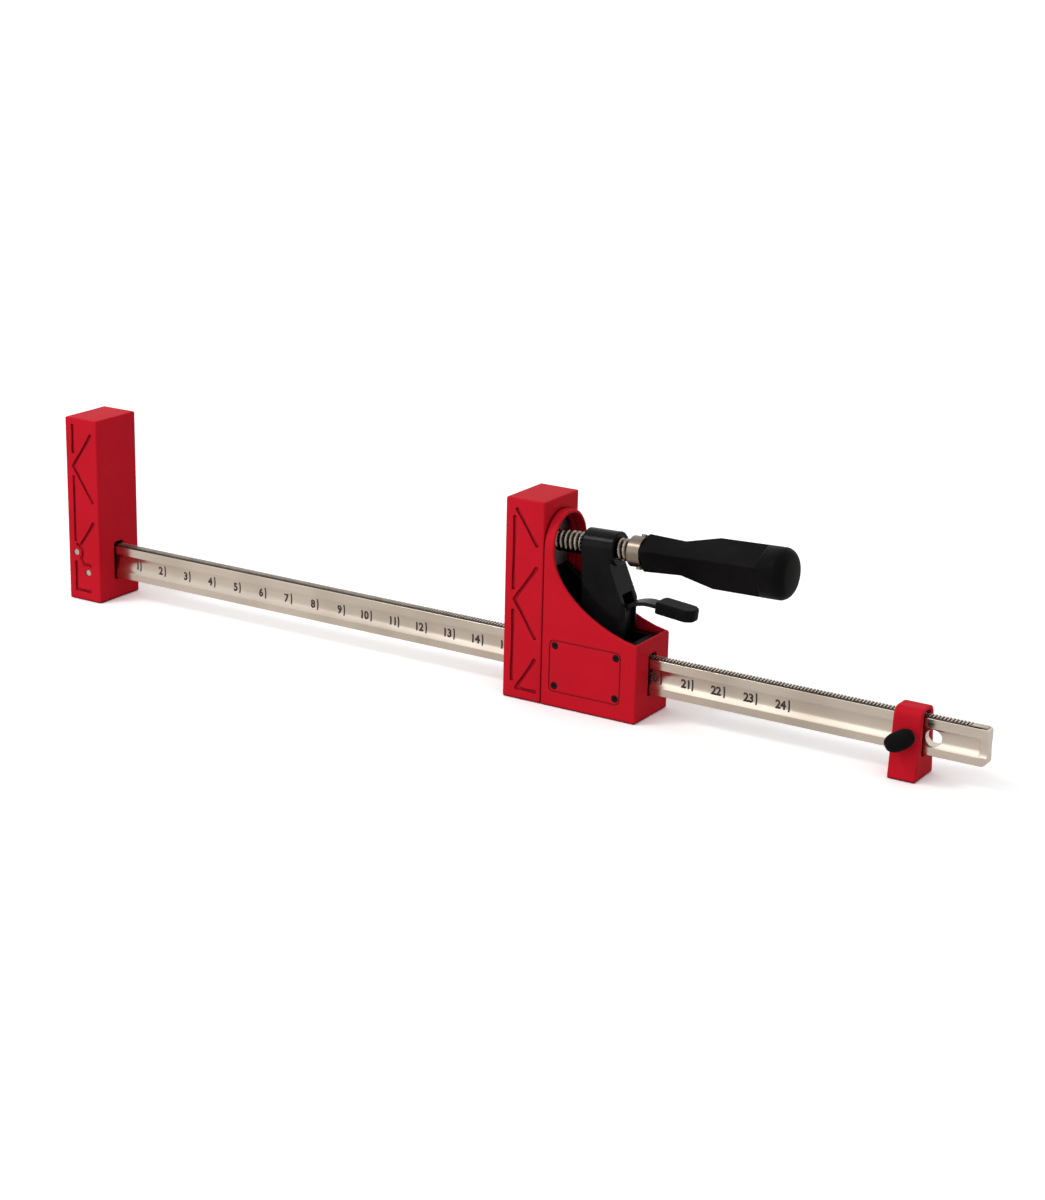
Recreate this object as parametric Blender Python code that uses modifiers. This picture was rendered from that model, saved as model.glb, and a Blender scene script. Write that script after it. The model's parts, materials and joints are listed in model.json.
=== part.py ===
"""A parallel clamp: a long profiled bar with a fixed jaw, a sliding jaw driven by a screw, and an end stop.

Metres, +Z up. The bar runs along X, the ruler side of the bar faces -Y, and z = 0 is the plane that the
undersides of both jaws and of the end stop stand on. The origin is the middle of the fixed jaw's underside.
Lengths named *_AT are distances along X from the fixed jaw's clamping face, where the ruler starts.
"""

import math

import bmesh
import bpy
from mathutils import Matrix, Vector

# Fits between pieces
SEAT_GAP = 0.0003
RUN_GAP = 0.0005
CUT_OVERRUN = 0.002
MERGE_DISTANCE = 0.000001

# Bar
BAR_THICK = 0.0094
BAR_HEIGHT = 0.0266
BAR_LIFT = 0.0182
BAR_END_AT = 0.757
BAR_ROOT_INSET = 0.004
BAR_CORNER = 0.004
RECESS_DEPTH = 0.002
RECESS_LOWER_BAND = 0.006
RECESS_UPPER_BAND = 0.0068
RECESS_SLOPE = 0.0036
RECESS_END_MARGIN = 0.005
RIB_WIDTH = 0.0062
RIB_ROOT = 0.0008
RIB_HEIGHT = 0.0012
RIB_END_MARGIN = 0.013
TOOTH_PITCH = 0.002
TOOTH_DEPTH = 0.0009
HANG_HOLE_RADIUS = 0.006
HANG_HOLE_MARGIN = 0.039

# Jaws: both have the same covers and cores
JAW_THICK = 0.0325
JAW_WIDTH = 0.048
JAW_ABOVE_SPINDLE = 0.0329
JAW_EDGE = 0.0012
COVER_WALL = 0.0035
COVER_TOP_WALL = 0.004
CORE_FLANGE = 0.006
CORE_WEB = 0.012
CORE_POCKET_ABOVE_RIB = 0.010
CORE_POCKET_BELOW_SOCKET = 0.017
CORE_POCKET_RIB = 0.005
WINDOW_SIDE = 0.0013
WINDOW_BELOW = 0.0014
WINDOW_ABOVE = 0.0022
WINDOW_CORNER = 0.003
GROOVE_WIDTH = 0.0023
GROOVE_DEPTH = 0.0012
MOVING_JAW_AT = 0.387

# Pins that hold the fixed jaw to the bar
JAW_PIN_RADIUS = 0.0026
JAW_PIN_INSET = 0.0005
UPPER_PIN_FROM_BACK = 0.0080
UPPER_PIN_BELOW_BAR_TOP = 0.0050
LOWER_PIN_FROM_BACK = 0.0200
LOWER_PIN_ABOVE_BAR_BASE = 0.0058

# Casing behind the moving jaw
CASING_LENGTH = 0.079
CASING_WALL = 0.0022
CASING_EDGE = 0.0008
CASING_BACK_ABOVE_RIB = 0.0127
ARCH_LENGTH = 0.0078
SWOOP_START_BELOW_ARCH = 0.0037
SWOOP_FALL_POWER_SHARE = 0.55
SWOOP_CURVE_POWER_SHARE = 1.32
PANEL_GROOVE = 0.0012
PANEL_GROOVE_DEPTH = 0.0005
PANEL_MARGIN_FRONT = 0.0065
PANEL_MARGIN_BACK = 0.0125
PANEL_LOW = 0.0115
PANEL_BELOW_CORNER = 0.0072
PANEL_CORNER = 0.004
SCREW_HEAD_RADIUS = 0.0026
SCREW_HEAD_DEPTH = 0.0011
SCREW_SHANK_RADIUS = 0.0015
SCREW_LENGTH = 0.0076
SCREW_SOCKET_RADIUS = 0.0012
SCREW_SOCKET_DEPTH = 0.001
SCREW_IN_PANEL_FRONT = 0.0048
SCREW_IN_PANEL_BACK = 0.0043
SCREW_IN_PANEL_LOW = 0.005
SCREW_IN_PANEL_HIGH = 0.0045

# Moving jaw's casting: two cheeks run back inside the casing, under a sloping gusset
CORE_RECESS = 0.0055
CHEEK_THICK = 0.005
CHEEK_ABOVE_RIB = 0.0098
CHEEK_BEFORE_WALL = 0.0048
GUSSET_END_SHARE = 0.77
CORE_BAR_PLAY = 0.001

# Guides that slide on the bar
FRONT_SHOE_BEHIND_CORE = 0.0054
FRONT_SHOE_WIDTH = 0.017
FRONT_SHOE_WALL = 0.004
BACK_SHOE_LENGTH = 0.0098
BACK_SHOE_ABOVE_RIB = 0.0098

# Spindle: its axis meets the swivel's centre, and leans up from the bar by the play of the arm
LEAN = math.radians(1.75)
SWIVEL_BEFORE_BACK = 0.012
SPINDLE_HEIGHT = 0.1191
SWIVEL_RADIUS = 0.0085
SWIVEL_THICK = 0.007
SWIVEL_BORE_DEPTH = 0.005
SOCKET_SIDE_PLAY = 0.0009
SOCKET_END_PLAY = 0.0006
THRUST_PLATE_THICK = 0.0024
THRUST_PLATE_INSET = 0.0047
THRUST_PLATE_BELOW = 0.021
THRUST_PLATE_ABOVE = 0.0185
NECK_RADIUS = 0.0045
NECK_PLAY = 0.0012
THREAD_ROOT_RADIUS = 0.0064
THREAD_CREST_RADIUS = 0.0083
THREAD_LEAD = 0.004
THREAD_ROOT_WIDTH = 0.0023
THREAD_CREST_WIDTH = 0.0013
THREAD_START = 0.0085
THREAD_PLAY = 0.0004
FERRULE_BEHIND_BOSS = 0.0092
FERRULE_LENGTH = 0.0112
FERRULE_RADIUS = 0.01135
FERRULE_CHAMFER = 0.0012
SHANK_RADIUS = 0.006
TANG_LENGTH = 0.060

# Handle and its cross pin
HANDLE_LENGTH = 0.1165
HANDLE_NECK_RADIUS = 0.0137
HANDLE_WAIST_RADIUS = 0.0123
HANDLE_GRIP_RADIUS = 0.0182
HANDLE_END_RADIUS = 0.0187
HANDLE_WAIST_SHARE = 0.260
HANDLE_GRIP_SHARE = 0.488
HANDLE_FLAT_END_SHARE = 0.802
HANDLE_END_ROUND = 0.0075
HANDLE_DOME = 0.0012
HANDLE_CHAMFER = 0.0012
HANDLE_RUNOUT_SHARE = 0.82
HANDLE_TURN = math.radians(71.0)
HANDLE_FLAT_SHARE = 0.72
HANDLE_PIN_RADIUS = 0.0021
HANDLE_PIN_LENGTH = 0.0256
HANDLE_PIN_BEFORE_END = 0.0031

# Sliding arm that carries the spindle's thread
ARM_WIDTH_SHARE = 0.5
ARM_FROM_SHARE = 0.4557
BOSS_LENGTH = 0.026
BOSS_RADIUS = 0.0125
ARM_SHOULDER_OUT = 0.0235
ARM_SHOULDER_DROP = 0.0125
ARM_BACK_OUT = 0.0346
ARM_BACK_DROP = 0.0405
ARM_WAIST_ABOVE_RIB = 0.0105
ARM_FOOT_OUT = 0.0280
ARM_FOOT_BELOW_BAR = 0.0112
ARM_BACK_CHAMFER = 0.0038
ARM_WINDOW_BELOW = 0.0023
ARM_WINDOW_ABOVE = 0.0005
SLOT_WIDTH = 0.0136
SLOT_FRONT_WALL = 0.004
SLOT_ROOF_SHARE = 1.15
SLOT_STEP = 0.025
SLOT_LEDGE_ABOVE_PIVOT = 0.0145
BITE_THICK = 0.003
BITE_WIDTH = 0.016

# Release lever
LEVER_WIDTH = 0.012
LEVER_THICK = 0.0028
LEVER_PIVOT_OUT = 0.012
LEVER_PIVOT_ABOVE_RIB = 0.0095
LEVER_EYE_RADIUS = 0.0044
LEVER_EYE_WIDTH = 0.0128
PIVOT_PIN_RADIUS = 0.0025
LEVER_SPAN = 0.062
LEVER_RISE_SHARE = 0.608
LEVER_LINE_SHARES = (
    (0.0, 0.0), (0.218, 0.0), (0.277, 0.117), (0.294, 0.51), (0.315, 0.74), (0.395, 0.886), (0.55, 0.985),
    (0.69, 0.985), (1.0, 0.90),
)
PAWL_FROM = 0.0052
PAWL_TEETH = 4
PAWL_DROP = 0.0087
GRIP_LENGTH = 0.0302
GRIP_WIDTH = 0.0178
GRIP_THICK = 0.0088
GRIP_BEFORE_TIP = 0.0163
GRIP_ROUND = 0.0032
GRIP_END_CORNER = 0.0072
GRIP_ROOT_CORNER = 0.0036
SPRING_COIL_RADIUS = 0.0032
SPRING_WIRE_RADIUS = 0.00045
SPRING_TURNS = 5
SPRING_OUT = 0.009

# End stop
STOP_BEFORE_END = 0.0559
STOP_LENGTH = 0.0208
STOP_BASE_WIDTH = 0.0312
STOP_TOP_WIDTH = 0.0205
STOP_ABOVE_WINDOW = 0.0024
STOP_TOP_ROUND = 0.0055
STOP_EDGE = 0.0018
STUD_RADIUS = 0.003
INSERT_RADIUS = 0.0045
INSERT_LENGTH = 0.004
INSERT_INSET = 0.0008
PAD_RADIUS = 0.0034
PAD_THICK = 0.0016
PAD_SOCKET_DEPTH = 0.0022
STUD_TIP_RADIUS = 0.0014
STUD_TIP_LENGTH = 0.0009
KNOB_LENGTH = 0.0235
KNOB_WIDTH = 0.0140
KNOB_DEPTH = 0.0104
KNOB_STAND_OFF = 0.0040
KNOB_ROUND_SHARE = 0.8
KNOB_TURN = math.radians(33.0)

# Values that follow from the sizes above
FACE_X = JAW_THICK / 2
MOVING_X = FACE_X + MOVING_JAW_AT
CASING_X = MOVING_X + JAW_THICK
BAR_TOP = BAR_LIFT + BAR_HEIGHT
RIB_TOP = BAR_TOP + RIB_HEIGHT
BAR_ROOT_LENGTH = JAW_THICK - BAR_ROOT_INSET
WINDOW_HALF_WIDTH = BAR_THICK / 2 + WINDOW_SIDE
JAW_HEIGHT = SPINDLE_HEIGHT + JAW_ABOVE_SPINDLE
UPPER_PIN_FROM_FACE = JAW_THICK - UPPER_PIN_FROM_BACK
LOWER_PIN_FROM_FACE = JAW_THICK - LOWER_PIN_FROM_BACK
SWIVEL_FROM_FACE = JAW_THICK - SWIVEL_BEFORE_BACK
CASING_BACK_HEIGHT = RIB_TOP + CASING_BACK_ABOVE_RIB
PANEL_HIGH = CASING_BACK_HEIGHT - PANEL_BELOW_CORNER
CHEEK_HEIGHT = RIB_TOP + CHEEK_ABOVE_RIB
CHEEK_BEHIND_JAW = CASING_LENGTH - CASING_WALL - CHEEK_BEFORE_WALL
CHEEK_HALF = JAW_WIDTH / 2 - CASING_WALL - SEAT_GAP
BACK_SHOE_HEIGHT = RIB_TOP + BACK_SHOE_ABOVE_RIB
CORE_POCKET_LOW = RIB_TOP + CORE_POCKET_ABOVE_RIB
ARM_WIDTH = JAW_WIDTH * ARM_WIDTH_SHARE
ARM_FROM = CASING_LENGTH * ARM_FROM_SHARE
ARM_WAIST_DROP = SPINDLE_HEIGHT - RIB_TOP - ARM_WAIST_ABOVE_RIB
ARM_FOOT_DROP = SPINDLE_HEIGHT - BAR_LIFT + ARM_FOOT_BELOW_BAR
LEVER_PIVOT_DROP = SPINDLE_HEIGHT - RIB_TOP - LEVER_PIVOT_ABOVE_RIB
LEVER_RISE = (LEVER_PIVOT_DROP - HANDLE_END_RADIUS) * LEVER_RISE_SHARE
SLOT_LEDGE_DROP = LEVER_PIVOT_DROP - SLOT_LEDGE_ABOVE_PIVOT
SLOT_ROOF_DROP = LEVER_PIVOT_DROP - LEVER_RISE * SLOT_ROOF_SHARE
FERRULE_FROM = ARM_FROM + BOSS_LENGTH + FERRULE_BEHIND_BOSS
HANDLE_FROM = FERRULE_FROM + FERRULE_LENGTH + SEAT_GAP
HANDLE_WAIST_FROM = HANDLE_FROM + HANDLE_LENGTH * HANDLE_WAIST_SHARE
HANDLE_GRIP_FROM = HANDLE_FROM + HANDLE_LENGTH * HANDLE_GRIP_SHARE
HANDLE_FLAT_END = HANDLE_FROM + HANDLE_LENGTH * HANDLE_FLAT_END_SHARE
STOP_AT = BAR_END_AT - STOP_BEFORE_END
STOP_HEIGHT = RIB_TOP + WINDOW_ABOVE + STOP_ABOVE_WINDOW
BAR_MIDDLE = BAR_LIFT + RECESS_LOWER_BAND + (BAR_HEIGHT - RECESS_LOWER_BAND - RECESS_UPPER_BAND) / 2
BAR_START_X = FACE_X - BAR_ROOT_LENGTH
BAR_END_X = FACE_X + BAR_END_AT
SWIVEL = Vector((MOVING_X + SWIVEL_FROM_FACE, 0, SPINDLE_HEIGHT))
THREAD_LENGTH = FERRULE_FROM - THREAD_START
CORE_INSET = COVER_WALL + SEAT_GAP
CORE_HALF = JAW_WIDTH / 2 - CORE_INSET
CORE_TOP = JAW_HEIGHT - COVER_TOP_WALL - SEAT_GAP
FRONT_SHOE_LENGTH = JAW_THICK - CORE_RECESS - CORE_INSET - FRONT_SHOE_BEHIND_CORE

ROUND_STEPS = 32
SMALL_STEPS = 12
THREAD_STEPS = 16
ARC_STEPS = 6
KNOB_STEPS = 10
SMOOTH_ANGLE = math.radians(35)

# Truss grooves on both sides of a jaw: strokes from point to point, as shares of its thickness and height
FIXED_TRUSS_SHARES = (
    ((0.235, 0.955), (0.235, 0.815)),
    ((0.80, 0.915), (0.235, 0.735)),
    ((0.235, 0.735), (0.82, 0.555)),
    ((0.235, 0.675), (0.235, 0.33)),
    ((0.82, 0.435), (0.37, 0.295)),
    ((0.235, 0.205), (0.235, 0.055)),
    ((0.235, 0.055), (0.66, 0.055)),
)
MOVING_TRUSS_SHARES = (
    ((0.30, 0.945), (0.82, 0.785)),
    ((0.235, 0.905), (0.235, 0.555)),
    ((0.82, 0.670), (0.27, 0.500)),
    ((0.27, 0.500), (0.82, 0.325)),
    ((0.235, 0.440), (0.235, 0.095)),
    ((0.82, 0.210), (0.36, 0.055)),
    ((0.36, 0.055), (0.85, 0.055)),
)

MATERIALS = {
    "jaw_red": ((0.55, 0.012, 0.020), 0.45, 0.0),
    "bar_steel": ((0.50, 0.45, 0.39), 0.28, 1.0),
    "cast_black": ((0.012, 0.011, 0.012), 0.50, 0.6),
    "spindle_steel": ((0.52, 0.47, 0.42), 0.25, 1.0),
    "plate_steel": ((0.22, 0.22, 0.21), 0.45, 1.0),
    "handle_black": ((0.010, 0.010, 0.010), 0.55, 0.0),
    "bronze": ((0.45, 0.28, 0.10), 0.40, 1.0),
}


def material(name):
    """Return the named material, made on first use."""
    found = bpy.data.materials.get(name)
    if found:
        return found
    colour, roughness, metallic = MATERIALS[name]
    made = bpy.data.materials.new(name)
    made.use_nodes = True
    shader = made.node_tree.nodes["Principled BSDF"]
    shader.inputs["Base Color"].default_value = (*colour, 1.0)
    shader.inputs["Roughness"].default_value = roughness
    shader.inputs["Metallic"].default_value = metallic
    made.diffuse_color = (*colour, 1.0)
    return made


def collection(name):
    """Return the named collection, made on first use."""
    found = bpy.data.collections.get(name)
    if not found:
        found = bpy.data.collections.new(name)
        bpy.context.scene.collection.children.link(found)
    return found


def clear_scene():
    """Remove every object, so that the script can be run again."""
    for thing in list(bpy.data.objects):
        bpy.data.objects.remove(thing, do_unlink=True)


def frame(name, place, tilt=0.0, parent=None):
    """Add an empty that carries the pieces of one moving body, tilted up about -Y."""
    empty = bpy.data.objects.new(name, None)
    collection("parallel_clamp").objects.link(empty)
    empty.location = place
    empty.rotation_euler = (0.0, -tilt, 0.0)
    empty.parent = parent
    return empty


def mesh_object(name, bm, finish=None, parent=None):
    """Turn a bmesh into a piece, or into a cutter when it has no finish."""
    mesh = bpy.data.meshes.new(name)
    bm.to_mesh(mesh)
    bm.free()
    thing = bpy.data.objects.new(name, mesh)
    settle(thing, finish, parent)
    return thing


def settle(thing, finish, parent):
    """Put an object in its collection, with its material or a cutter's display."""
    thing.parent = parent
    if finish:
        collection("parallel_clamp").objects.link(thing)
        thing.data.materials.append(material(finish))
    else:
        collection("cutters").objects.link(thing)
        thing.hide_render = True
        thing.display_type = "WIRE"


def block_bmesh(low, high):
    """Make a box between two corners."""
    bm = bmesh.new()
    bmesh.ops.create_cube(bm, size=1.0)
    low, high = Vector(low), Vector(high)
    bmesh.ops.scale(bm, verts=bm.verts, vec=high - low)
    bmesh.ops.translate(bm, verts=bm.verts, vec=(low + high) / 2)
    return bm


def block(name, low, high, finish=None, parent=None):
    """Add a box between two corners."""
    return mesh_object(name, block_bmesh(low, high), finish, parent)


AXIS_TURNS = {
    "X": Matrix.Rotation(math.pi / 2, 4, "Y"),
    "Y": Matrix.Rotation(-math.pi / 2, 4, "X"),
    "Z": Matrix.Identity(4),
}


def rod_bmesh(axis, start, radius, length, steps):
    """Make a closed cylinder that runs from start along +axis."""
    bm = bmesh.new()
    bmesh.ops.create_cone(
        bm, cap_ends=True, segments=steps, radius1=radius, radius2=radius, depth=length,
        matrix=Matrix.Translation(start) @ AXIS_TURNS[axis] @ Matrix.Translation((0, 0, length / 2)),
    )
    return bm


def rod(name, axis, start, radius, length, finish=None, parent=None, steps=SMALL_STEPS):
    """Add a closed cylinder that runs from start along +axis."""
    thing = mesh_object(name, rod_bmesh(axis, start, radius, length, steps), finish, parent)
    smooth(thing)
    return thing


def smooth(thing):
    """Shade a round piece smooth, with its real edges kept sharp."""
    thing.data.shade_smooth()
    thing.data.set_sharp_from_angle(angle=SMOOTH_ANGLE)


def join_bmesh(parts):
    """Collect several bmeshes in one, as separate bodies."""
    whole = bmesh.new()
    for part in parts:
        mesh = bpy.data.meshes.new("part")
        part.to_mesh(mesh)
        part.free()
        whole.from_mesh(mesh)
        bpy.data.meshes.remove(mesh)
    return whole


PLANE_TURNS = {
    "XZ": Matrix.Rotation(math.pi / 2, 4, "X"),
    "YZ": Matrix(((0, 0, 1, 0), (1, 0, 0, 0), (0, 1, 0, 0), (0, 0, 0, 1))),
    "XY": Matrix.Identity(4),
}


def outline_bmesh(points, plane, low, high):
    """Extrude a closed outline, drawn in a plane, between two levels across that plane."""
    curve = bpy.data.curves.new("outline", "CURVE")
    curve.dimensions = "2D"
    curve.fill_mode = "BOTH"
    curve.extrude = (high - low) / 2
    spline = curve.splines.new("POLY")
    spline.points.add(len(points) - 1)
    for spline_point, (across, up) in zip(spline.points, points):
        spline_point.co = (across, up, 0, 1)
    spline.use_cyclic_u = True
    holder = bpy.data.objects.new("outline", curve)
    bpy.context.scene.collection.objects.link(holder)
    seen = holder.evaluated_get(bpy.context.evaluated_depsgraph_get())
    mesh = bpy.data.meshes.new_from_object(seen)
    bm = bmesh.new()
    bm.from_mesh(mesh)
    bmesh.ops.remove_doubles(bm, verts=bm.verts, dist=MERGE_DISTANCE)
    shift = {"XZ": (0, 1, 0), "YZ": (1, 0, 0), "XY": (0, 0, 1)}[plane]
    middle = Vector(shift) * ((low + high) / 2)
    bmesh.ops.transform(bm, verts=bm.verts, matrix=Matrix.Translation(middle) @ PLANE_TURNS[plane])
    bpy.data.objects.remove(holder)
    bpy.data.curves.remove(curve)
    bpy.data.meshes.remove(mesh)
    return bm


def outline_solid(name, points, plane, low, high, finish=None, parent=None):
    """Add a flat outline of a given thickness."""
    return mesh_object(name, outline_bmesh(points, plane, low, high), finish, parent)


def filleted(corners):
    """Replace each (x, y, radius) corner of an outline with an arc; a zero radius keeps it sharp."""
    points = []
    count = len(corners)
    for index, (x, y, radius) in enumerate(corners):
        here = Vector((x, y))
        if radius <= 0:
            points.append((x, y))
            continue
        before = Vector(corners[index - 1][:2]) - here
        after = Vector(corners[(index + 1) % count][:2]) - here
        half = before.angle(after) / 2
        reach = min(radius / math.tan(half), before.length / 2, after.length / 2)
        bend = reach * math.tan(half)
        centre = here + (before.normalized() + after.normalized()).normalized() * (bend / math.sin(half))
        first = here + before.normalized() * reach - centre
        last = here + after.normalized() * reach - centre
        sweep = first.angle_signed(last)
        for step in range(ARC_STEPS + 1):
            spoke = first.copy()
            spoke.rotate(Matrix.Rotation(-sweep * step / ARC_STEPS, 2))
            points.append(tuple(centre + spoke))
    return points


def turned(name, profile, finish, parent, steps=ROUND_STEPS, closed=False):
    """Turn a profile of (x, radius) points, listed from its far end back to x = 0, round the X axis."""
    bm = bmesh.new()
    points = [bm.verts.new((radius, 0, along)) for along, radius in profile]
    for first, second in zip(points, points[1:]):
        bm.edges.new((first, second))
    if closed:
        bm.edges.new((points[-1], points[0]))
    thing = mesh_object(name, bm, finish, parent)
    thing.rotation_euler = (0, math.pi / 2, 0)
    screw = thing.modifiers.new("Turn", "SCREW")
    screw.axis = "Z"
    screw.steps = steps
    screw.render_steps = steps
    screw.use_merge_vertices = True
    screw.merge_threshold = MERGE_DISTANCE
    screw.use_smooth_shade = True
    return thing


def boolean(thing, cutter, operation="DIFFERENCE", crossing=False):
    """Cut, join or trim a piece with another object, whose own bodies may be crossing each other."""
    step = thing.modifiers.new(operation.title(), "BOOLEAN")
    step.operation = operation
    step.object = cutter
    step.solver = "EXACT"
    step.use_self = crossing


def bevel(thing, width, segments=2):
    """Round the sharp edges of a piece."""
    step = thing.modifiers.new("Edges", "BEVEL")
    step.width = width
    step.segments = segments
    step.limit_method = "ANGLE"
    step.angle_limit = SMOOTH_ANGLE


def window_outline(clear, corner):
    """The hole round the bar's section, with rounded upper corners."""
    half = BAR_THICK / 2 + clear
    low = BAR_LIFT - clear
    high = RIB_TOP + clear
    return filleted([(-half, low, 0), (half, low, 0), (half, high, corner), (-half, high, corner)])


def cover_window_outline():
    """The larger opening in a cover or casing wall, through which the bar passes."""
    low = BAR_LIFT - WINDOW_BELOW
    high = RIB_TOP + WINDOW_ABOVE
    half = WINDOW_HALF_WIDTH
    return filleted([(-half, low, 0), (half, low, 0), (half, high, WINDOW_CORNER), (-half, high, WINDOW_CORNER)])


def build_bar():
    """The profiled bar: a web between two bands, a narrow rib on top, pin holes and a hanging hole."""
    half = BAR_THICK / 2
    outline = filleted([
        (BAR_START_X, BAR_LIFT, 0), (BAR_END_X, BAR_LIFT, BAR_CORNER),
        (BAR_END_X, BAR_TOP, BAR_CORNER), (BAR_START_X, BAR_TOP, 0),
    ])
    bar = outline_solid("bar", outline, "XZ", -half, half, "bar_steel")
    rib = block(
        "rib_blank", (FACE_X, -RIB_WIDTH / 2, BAR_TOP - RIB_ROOT), (BAR_END_X - RIB_END_MARGIN, RIB_WIDTH / 2, RIB_TOP)
    )
    boolean(bar, rib, "UNION")
    low = BAR_LIFT + RECESS_LOWER_BAND
    high = BAR_TOP - RECESS_UPPER_BAND
    flare = RECESS_SLOPE * CUT_OVERRUN / RECESS_DEPTH
    for side in (-1, 1):
        face = side * half
        outside = side * (half + CUT_OVERRUN)
        floor = side * (half - RECESS_DEPTH)
        section = [
            (outside, low - flare), (face, low), (floor, low + RECESS_SLOPE),
            (floor, high - RECESS_SLOPE), (face, high), (outside, high + flare),
        ]
        if side > 0:
            section.reverse()
        recess = outline_solid(
            "recess_cutter", section, "YZ", BAR_START_X - CUT_OVERRUN, BAR_END_X - RECESS_END_MARGIN
        )
        boolean(bar, recess)
    across = BAR_THICK + CUT_OVERRUN * 2
    holes = [rod_bmesh("Y", (x, -across / 2, z), JAW_PIN_RADIUS + SEAT_GAP, across, SMALL_STEPS) for x, z in jaw_pins()]
    hang = Vector((BAR_END_X - HANG_HOLE_MARGIN, -across / 2, BAR_MIDDLE))
    holes.append(rod_bmesh("Y", hang, HANG_HOLE_RADIUS, across, ROUND_STEPS))
    boolean(bar, mesh_object("bar_hole_cutter", join_bmesh(holes)))
    return bar


def jaw_pins():
    """Where the fixed jaw's two cross pins pass through the bar, as (x, z)."""
    return (
        (FACE_X - UPPER_PIN_FROM_FACE, BAR_TOP - UPPER_PIN_BELOW_BAR_TOP),
        (FACE_X - LOWER_PIN_FROM_FACE, BAR_LIFT + LOWER_PIN_ABOVE_BAR_BASE),
    )


def groove_bmeshes(x_left, strokes):
    """Shallow straight grooves on both sides of a jaw, one box for each stroke."""
    grooves = []
    for first, second in strokes:
        start = Vector((x_left + first[0] * JAW_THICK, 0, first[1] * JAW_HEIGHT))
        end = Vector((x_left + second[0] * JAW_THICK, 0, second[1] * JAW_HEIGHT))
        run = end - start
        turn = Matrix.Rotation(-math.atan2(run.z, run.x), 4, "Y")
        for side in (-1, 1):
            reach = (run.length + GROOVE_WIDTH) / 2
            depth = GROOVE_DEPTH + CUT_OVERRUN
            middle_y = side * (JAW_WIDTH / 2 - GROOVE_DEPTH + depth / 2)
            bm = block_bmesh((-reach, -depth / 2, -GROOVE_WIDTH / 2), (reach, depth / 2, GROOVE_WIDTH / 2))
            place = Matrix.Translation((start + end) / 2 + Vector((0, middle_y, 0)))
            bmesh.ops.transform(bm, verts=bm.verts, matrix=place @ turn)
            grooves.append(bm)
    return grooves


def build_cover(name, left, open_side, strokes, parent=None):
    """A moulded jaw cover: a closed box with a thin wall, open underneath or towards its casing."""
    right = left + JAW_THICK
    half = JAW_WIDTH / 2
    cover = block(name, (left, -half, 0), (right, half, JAW_HEIGHT), "jaw_red", parent)
    bevel(cover, JAW_EDGE)
    floor = -CUT_OVERRUN if open_side == "below" else COVER_WALL
    cavity = block(
        name + "_cavity_cutter",
        (left + COVER_WALL, -half + COVER_WALL, floor),
        (right - COVER_WALL, half - COVER_WALL, JAW_HEIGHT - COVER_TOP_WALL),
        parent=parent,
    )
    boolean(cover, cavity)
    clamping_face = right if open_side == "below" else left
    window_start = clamping_face - COVER_WALL - CUT_OVERRUN
    window_end = clamping_face + COVER_WALL + CUT_OVERRUN
    window = outline_solid(
        name + "_window_cutter", cover_window_outline(), "YZ", window_start, window_end, None, parent
    )
    boolean(cover, window)
    if open_side == "behind":
        back = outline_solid(
            name + "_back_cutter", arched_outline(half - COVER_WALL, COVER_WALL), "YZ",
            right - COVER_WALL - CUT_OVERRUN, right + CUT_OVERRUN, None, parent,
        )
        boolean(cover, back)
    grooves = mesh_object(name + "_groove_cutter", join_bmesh(groove_bmeshes(left, strokes)), None, parent)
    boolean(cover, grooves, crossing=True)
    return cover


def core_pocket_cutter(name, left, right, top, tiers, parent=None):
    """Side pockets, one above the other, that leave a web and ribs between the flanges of a jaw's casting."""
    pockets = []
    height = (top - CORE_POCKET_LOW - CORE_POCKET_RIB * (tiers - 1)) / tiers
    for tier in range(tiers):
        low = CORE_POCKET_LOW + tier * (height + CORE_POCKET_RIB)
        for side in (-1, 1):
            edges = sorted((side * CORE_WEB / 2, side * (CORE_HALF + CUT_OVERRUN)))
            pockets.append(block_bmesh(
                (left + CORE_FLANGE, edges[0], low), (right - CORE_FLANGE, edges[1], low + height)
            ))
    return mesh_object(name, join_bmesh(pockets), None, parent)


def build_fixed_jaw():
    """The jaw pinned to the end of the bar: a cast core in a moulded cover."""
    left = FACE_X - JAW_THICK
    cover = build_cover("fixed_jaw_cover", left, "below", FIXED_TRUSS_SHARES)
    core_left, core_right = left + CORE_INSET, FACE_X - CORE_INSET
    core = block("fixed_jaw_core", (core_left, -CORE_HALF, 0), (core_right, CORE_HALF, CORE_TOP), "cast_black")
    boolean(core, core_pocket_cutter("fixed_pocket_cutter", core_left, core_right, CORE_TOP - CORE_FLANGE, 2))
    slot = outline_solid(
        "fixed_slot_cutter", window_outline(SEAT_GAP, 0), "YZ", BAR_START_X - SEAT_GAP, FACE_X + CUT_OVERRUN
    )
    boolean(core, slot)
    reach = JAW_WIDTH / 2 + CUT_OVERRUN
    bores = mesh_object("fixed_pin_bore_cutter", join_bmesh([
        rod_bmesh("Y", (x, -reach, z), JAW_PIN_RADIUS + SEAT_GAP, reach * 2, SMALL_STEPS) for x, z in jaw_pins()
    ]))
    boolean(core, bores)
    boolean(cover, bores)
    reach = JAW_WIDTH / 2 - JAW_PIN_INSET
    for name, (x, z) in zip(("fixed_jaw_pin_upper", "fixed_jaw_pin_lower"), jaw_pins()):
        rod(name, "Y", (x, -reach, z), JAW_PIN_RADIUS, reach * 2, "spindle_steel")


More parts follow.
